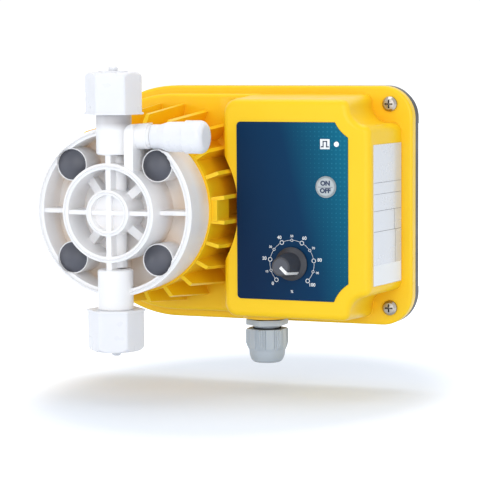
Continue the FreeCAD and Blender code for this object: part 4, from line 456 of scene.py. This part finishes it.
def link_mesh(name, points, faces, finish, body, smooth=False):
    """A mesh object at the origin, with its place in its points, riding on a body."""
    mesh = bpy.data.meshes.new(name)
    mesh.from_pydata(np.asarray(points).tolist(), [], faces)
    mesh.polygons.foreach_set("use_smooth", [smooth] * len(mesh.polygons))
    mesh.materials.append(finish)
    piece = bpy.data.objects.new(name, mesh)
    scene.collection.objects.link(piece)
    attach(piece, body)
    return piece


def grid_faces(rows, columns, wrap_rows=False, wrap_columns=False):
    """The quads of a grid of points numbered row by row, counterclockwise from outside."""
    faces = []
    for row in range(rows if wrap_rows else rows - 1):
        for column in range(columns if wrap_columns else columns - 1):
            here, below = row * columns, ((row + 1) % rows) * columns
            after = (column + 1) % columns
            faces.append((here + column, here + after, below + after, below + column))
    return faces


nut_columns, ring_columns, ring_rows = 360, 72, 14
points, rows = dome_nut(nut_columns)
nut = link_mesh("ribbed_dome_nut", points, grid_faces(rows, nut_columns, True, True), gland_grey,
                "pump_body")
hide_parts("gland_dome_nut")
ring_middle = (nut_middle[0], nut_middle[1], nut_high[2] + 0.0002)
points = ring_surface(ring_middle, 0.0068, 0.0004, ring_columns, ring_rows)
link_mesh("neck_ring", points, grid_faces(ring_rows, ring_columns, True, True), black_rubber,
          "pump_body", smooth=True)


# The control panel: a thin plastic plate let into the console's face, printed in dark blue that
# runs to teal at the right, with a field of fine dots that grow towards that side.
panel_blue = plastic("panel_blue", "#12305A", "#0B1E3C", "#2C5C86", bump=0.01,
                     values={"Depth": 0.0, "Painted highlight share": 0.0, "Gloss": 0.3, "Dull": 0.4,
                             "Clouds": 0.0},
                     sockets={"Specular IOR Level": 0.08})
tree = panel_blue.node_tree
place = node(tree, "ShaderNodeTexCoord").outputs["Object"]
spot = node(tree, "ShaderNodeSeparateXYZ", {0: place})
rise = maths(tree, "MULTIPLY", spot.outputs["Z"], 0.25)
slant = maths(tree, "ADD", spot.outputs["X"], rise)
run = ranged(tree, slant, 0.014, 0.088, 0.0, 1.0)
ramp = node(tree, "ShaderNodeValToRGB", {0: run})
ramp.color_ramp.elements[0].color = paint("#0C294B")
ramp.color_ramp.elements[1].color = paint("#0F7592")
middle_place = 0.45
middle = ramp.color_ramp.elements.new(middle_place)
middle.color = paint("#09375B")
pitch = 0.0022
cells = []
for axis in ("X", "Z"):
    scaled = maths(tree, "MULTIPLY", spot.outputs[axis], 1 / pitch)
    cells.append(maths(tree, "SUBTRACT", maths(tree, "FLOORED_MODULO", scaled, 1.0), 0.5))
from_dot = node(tree, "ShaderNodeCombineXYZ", {0: cells[0], 1: cells[1]})
length = node(tree, "ShaderNodeVectorMath", {0: from_dot.outputs[0]}, operation="LENGTH")
dot_size = ranged(tree, run, middle_place, 1.0, 0.0, 0.3)
inside = maths(tree, "LESS_THAN", length.outputs["Value"], dot_size)
faint = maths(tree, "MULTIPLY", inside, 0.22)
tree.links.new(blend_colours(tree, faint, ramp.outputs[0], paint("#3FA4BE")),
               tree.nodes["Principled BSDF"].inputs["Base Color"])
dress(panel_blue, "control_panel")


# The print on the panel: white ink, laid on as thin flat shapes. Round the dial a ring of
# small circles from 0 to 100 is joined by a thin line, with a number beside each circle.
panel_depth = 0.0504
ink_height = 0.00004
dial_centre = (0.044, -0.0265)
ring_radius = 0.0116
full_turn = 2 * math.pi


def printed_arc(centre, radius, start, stop, width, steps):
    """A flat line bent round a centre in the panel's plane.

    Point = centre + (radius + side) * (sin angle, cos angle), angle clockwise from the top,
    and depth = panel_depth + lift; side and lift run round the corners of the line's section.
    """
    angle = np.linspace(start, stop, steps)[:, None]
    side = np.array([[-1, 1, 1, -1]]) * width / 2
    lift = np.array([[0, 0, 1, 1]]) * ink_height
    x = centre[0] + (radius + side) * np.sin(angle)
    z = centre[1] + (radius + side) * np.cos(angle)
    y = -(panel_depth + lift) + 0 * angle
    points = np.stack([x, y, z], axis=-1).reshape(-1, 3)
    if stop - start == full_turn:
        return points[:-4], grid_faces(steps - 1, 4, True, True)
    faces = grid_faces(steps, 4, False, True)
    last = (steps - 1) * 4
    return points, faces + [(3, 2, 1, 0), (last, last + 1, last + 2, last + 3)]


def joined(parts):
    """Several (points, faces) pairs as one, with the later faces' numbers moved on."""
    points, faces, count = [], [], 0
    for some, quads in parts:
        points.append(some)
        faces += [tuple(corner + count for corner in quad) for quad in quads]
        count += len(some)
    return np.concatenate(points), faces


print_white = plastic("print_white", "#F2F6F8", "#D0D8DC", "#FFFFFF", bump=0.0,
                      values={"Depth": 0.0, "Painted highlight share": 0.0, "Gloss": 0.35, "Dull": 0.45})
dial_angles = np.radians(np.linspace(-135, 135, 11))
large_circle, small_circle = 0.00095, 0.0006
large_line, small_line, joining_line = 0.00028, 0.00022, 0.00016
scale_parts = []
for number, angle in enumerate(dial_angles):
    large = number % 2 == 0
    own, other = (large_circle, small_circle) if large else (small_circle, large_circle)
    circle_place = (dial_centre[0] + ring_radius * math.sin(angle),
                    dial_centre[1] + ring_radius * math.cos(angle))
    scale_parts.append(printed_arc(circle_place, own, 0, full_turn,
                                   large_line if large else small_line, 29))
    if number < len(dial_angles) - 1:
        scale_parts.append(printed_arc(dial_centre, ring_radius, angle + own / ring_radius,
                                       dial_angles[number + 1] - other / ring_radius,
                                       joining_line, 9))
points, faces = joined(scale_parts)
link_mesh("dial_scale", points, faces, print_white, "pump_body")


def lettering(name, words, size, x, z, depth, finish, body, weight=0.016):
    """Flat printed words, centred on x and z, on a plane that looks forward at that depth.

    Weight is how far the strokes are fattened, as a share of the letters' size.
    """
    curve = bpy.data.curves.new(name, "FONT")
    curve.body = words
    curve.size = size
    curve.align_x = "CENTER"
    curve.align_y = "CENTER"
    curve.extrude = ink_height / 2
    curve.offset = size * weight
    flat = bpy.data.objects.new(name + "_curve", curve)
    scene.collection.objects.link(flat)
    bpy.context.view_layer.update()
    seen = flat.evaluated_get(bpy.context.evaluated_depsgraph_get())
    mesh = bpy.data.meshes.new_from_object(seen)
    bpy.data.objects.remove(flat)
    mesh.transform(Matrix.Translation((x, -depth - ink_height / 2, z))
                   @ Matrix.Rotation(math.pi / 2, 4, "X"))
    mesh.materials.clear()
    mesh.materials.append(finish)
    piece = bpy.data.objects.new(name, mesh)
    scene.collection.objects.link(piece)
    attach(piece, body)
    return piece


for number, angle in enumerate(dial_angles):
    size, clear = ((0.0016, 0.0020), (0.0023, 0.0027))[number % 2 == 0]
    words = str(number * 10)
    reach = ring_radius + clear
    wide = 0.0004 * (len(words) - 1) * abs(math.sin(angle))
    lettering("number_" + words, words, size, dial_centre[0] + (reach + wide) * math.sin(angle),
              dial_centre[1] + reach * math.cos(angle), panel_depth, print_white, "pump_body")
percent_drop = 0.0138
lettering("percent", "%", 0.0019, dial_centre[0], dial_centre[1] - percent_drop, panel_depth,
          print_white, "pump_body")


# The mark beside the status light: a printed white square with one pulse drawn on it in dark
# blue ink, the sign for a stroke.
def slab(origin, along, out, low_u, high_u, low_v, high_v):
    """A thin printed block on an upright plane, as eight corners and six faces.

    Corner = origin + along * u + up * v + out * lift, where lift is 0 or ink_height.
    """
    corners = ((low_u, low_v), (high_u, low_v), (high_u, high_v), (low_u, high_v))
    up = np.array((0, 0, 1))
    points = np.array([origin + along * u + up * v + out * lift for lift in (0, ink_height)
                       for u, v in corners])
    return points, [(4, 5, 6, 7), (3, 2, 1, 0), (0, 1, 5, 4), (1, 2, 6, 5), (2, 3, 7, 6),
                    (3, 0, 4, 7)]


def front_slab(x, z, depth, low_x, high_x, low_z, high_z):
    """A printed block that looks forward, round a point on a plane at that depth."""
    return slab(np.array((x, -depth, z)), np.array((1, 0, 0)), np.array((0, -1, 0)),
                low_x, high_x, low_z, high_z)


mark_x, mark_z, mark_half = 0.0614, 0.0325, 0.00245
points, faces = front_slab(mark_x, mark_z, panel_depth, -mark_half, mark_half, -mark_half,
                           mark_half)
link_mesh("pulse_square", points, faces, print_white, "pump_body")
print_blue = plastic("print_blue", "#0C2448", "#081830", "#20406C", bump=0.0,
                     values={"Depth": 0.0, "Painted highlight share": 0.0})
half_line, half_pulse, half_reach, half_rise = 0.000275, 0.0009, 0.0018, 0.0013
turns = ((-half_reach, -half_rise), (-half_pulse, -half_rise), (-half_pulse, half_rise),
         (half_pulse, half_rise), (half_pulse, -half_rise), (half_reach, -half_rise))
bars = []
for (x, z), (next_x, next_z) in zip(turns, turns[1:]):
    bars.append(front_slab(mark_x, mark_z, panel_depth + ink_height, x - half_line,
                           next_x + half_line, min(z, next_z) - half_line,
                           max(z, next_z) + half_line))
points, faces = joined(bars)
link_mesh("pulse_line", points, faces, print_blue, "pump_body")


# The status light, and the push button with its bezel: satin silver-grey plastic, with the
# words for on and off printed in dark blue above and below a thin line.
lens_white = plastic("lens_white", "#F6FBFF", "#D8E4EA", "#FFFFFF", bump=0.0,
                     values={"Depth": 0.0, "Gloss": 0.1, "Dull": 0.16},
                     sockets={"Emission Color": (1, 1, 1, 1), "Emission Strength": 0.25})
dress(lens_white, "status_led")
bezel_grey = plastic("bezel_grey", "#8C979C", "#5C666C", "#C8D0D2",
                     values={"Reach": 0.002, "Gloss": 0.22, "Dull": 0.32})
dress(bezel_grey, "onoff_bezel")
button_grey = plastic("button_grey", "#B4BDC1", "#8A9498", "#DCE2E4",
                      values={"Reach": 0.002, "Gloss": 0.24, "Dull": 0.36})
dress(button_grey, "onoff_button")
button_x, button_z, button_depth = 0.0619, 0.0116, 0.0515
word_rise, word_size, word_weight = 0.0018, 0.0031, 0.055
for name, words, rise in (("word_on", "ON", word_rise), ("word_off", "OFF", -word_rise)):
    lettering(name, words, word_size, button_x, button_z + rise, button_depth, print_blue,
              "button", word_weight)
points, faces = front_slab(button_x, button_z, button_depth, -0.0038, 0.0038, -0.00008, 0.00008)
link_mesh("button_line", points, faces, print_blue, "button")


# The rate knob: dark grey plastic with a skirt, pushed on the potentiometer's shaft, with a
# paler disc let into its face and a white pointer that runs across the face and down the barrel.
knob_grey = plastic("knob_grey", "#34363D", "#17181C", "#4E515A", bump=0.06,
                    values={"Gloss": 0.36, "Dull": 0.5})
dress(knob_grey, "rate_knob")
disc_grey = plastic("disc_grey", "#474A53", "#26282E", "#666A74",
                    values={"Gloss": 0.3, "Dull": 0.42})
dress(disc_grey, "knob_cap")
pointer_white = plastic("pointer_white", "#F5F7F8", "#D0D4D8", "#FFFFFF",
                        values={"Depth": 0.2, "Gloss": 0.3, "Dull": 0.4})
dress(pointer_white, "knob_pointer")


# The rating label, stuck on the console's right wall: a silvery film, blank but for thin
# ruled lines, with a white field at its foot.
label_silver = plastic("label_silver", "#D6DAE0", "#A4A9B0", "#ECEFF3", bump=0.01,
                       values={"Depth": 0.0, "Painted highlight share": 0.0, "Gloss": 0.2, "Dull": 0.3,
                               "Cloud size": 40.0, "Clouds": 0.3},
                       sockets={"Metallic": 0.2})
dress(label_silver, "rating_label")
wall_lean, wall_length, label_thickness = 0.0045, 0.0365, 0.00032
lean = math.atan(wall_lean / wall_length)
label_out = np.array((math.cos(lean), -math.sin(lean), 0))
label_back = np.array((math.sin(lean), math.cos(lean), 0))
label_middle = (np.array((0.084 + wall_lean * 0.01985 / wall_length, -0.03015, -0.0024))
                + label_out * label_thickness)
print_grey = plastic("print_grey", "#5C6068", "#3C4046", "#80858E", bump=0.0,
                     values={"Depth": 0.0, "Painted highlight share": 0.0})
half_width, half_rule = 0.0154, 0.0001
label_foot, field_top, lowest_rule, next_rule = -0.0342, -0.0245, -0.008, 0.0021
points, faces = slab(label_middle, label_back, label_out, -half_width, half_width, label_foot,
                     field_top)
link_mesh("label_field", points, faces, print_white, "pump_body")
rules = [slab(label_middle, label_back, label_out, -half_width, half_width, height - half_rule,
              height + half_rule)
         for height in (0.0159, 0.0103, next_rule, lowest_rule)]
rules += [slab(label_middle, label_back, label_out, side - half_rule, side + half_rule, low, high)
          for side, low, high in ((0.0078, lowest_rule, next_rule),
                                  (0.0088, field_top, lowest_rule))]
points, faces = joined(rules)
link_mesh("label_rules", points, faces, print_grey, "pump_body")
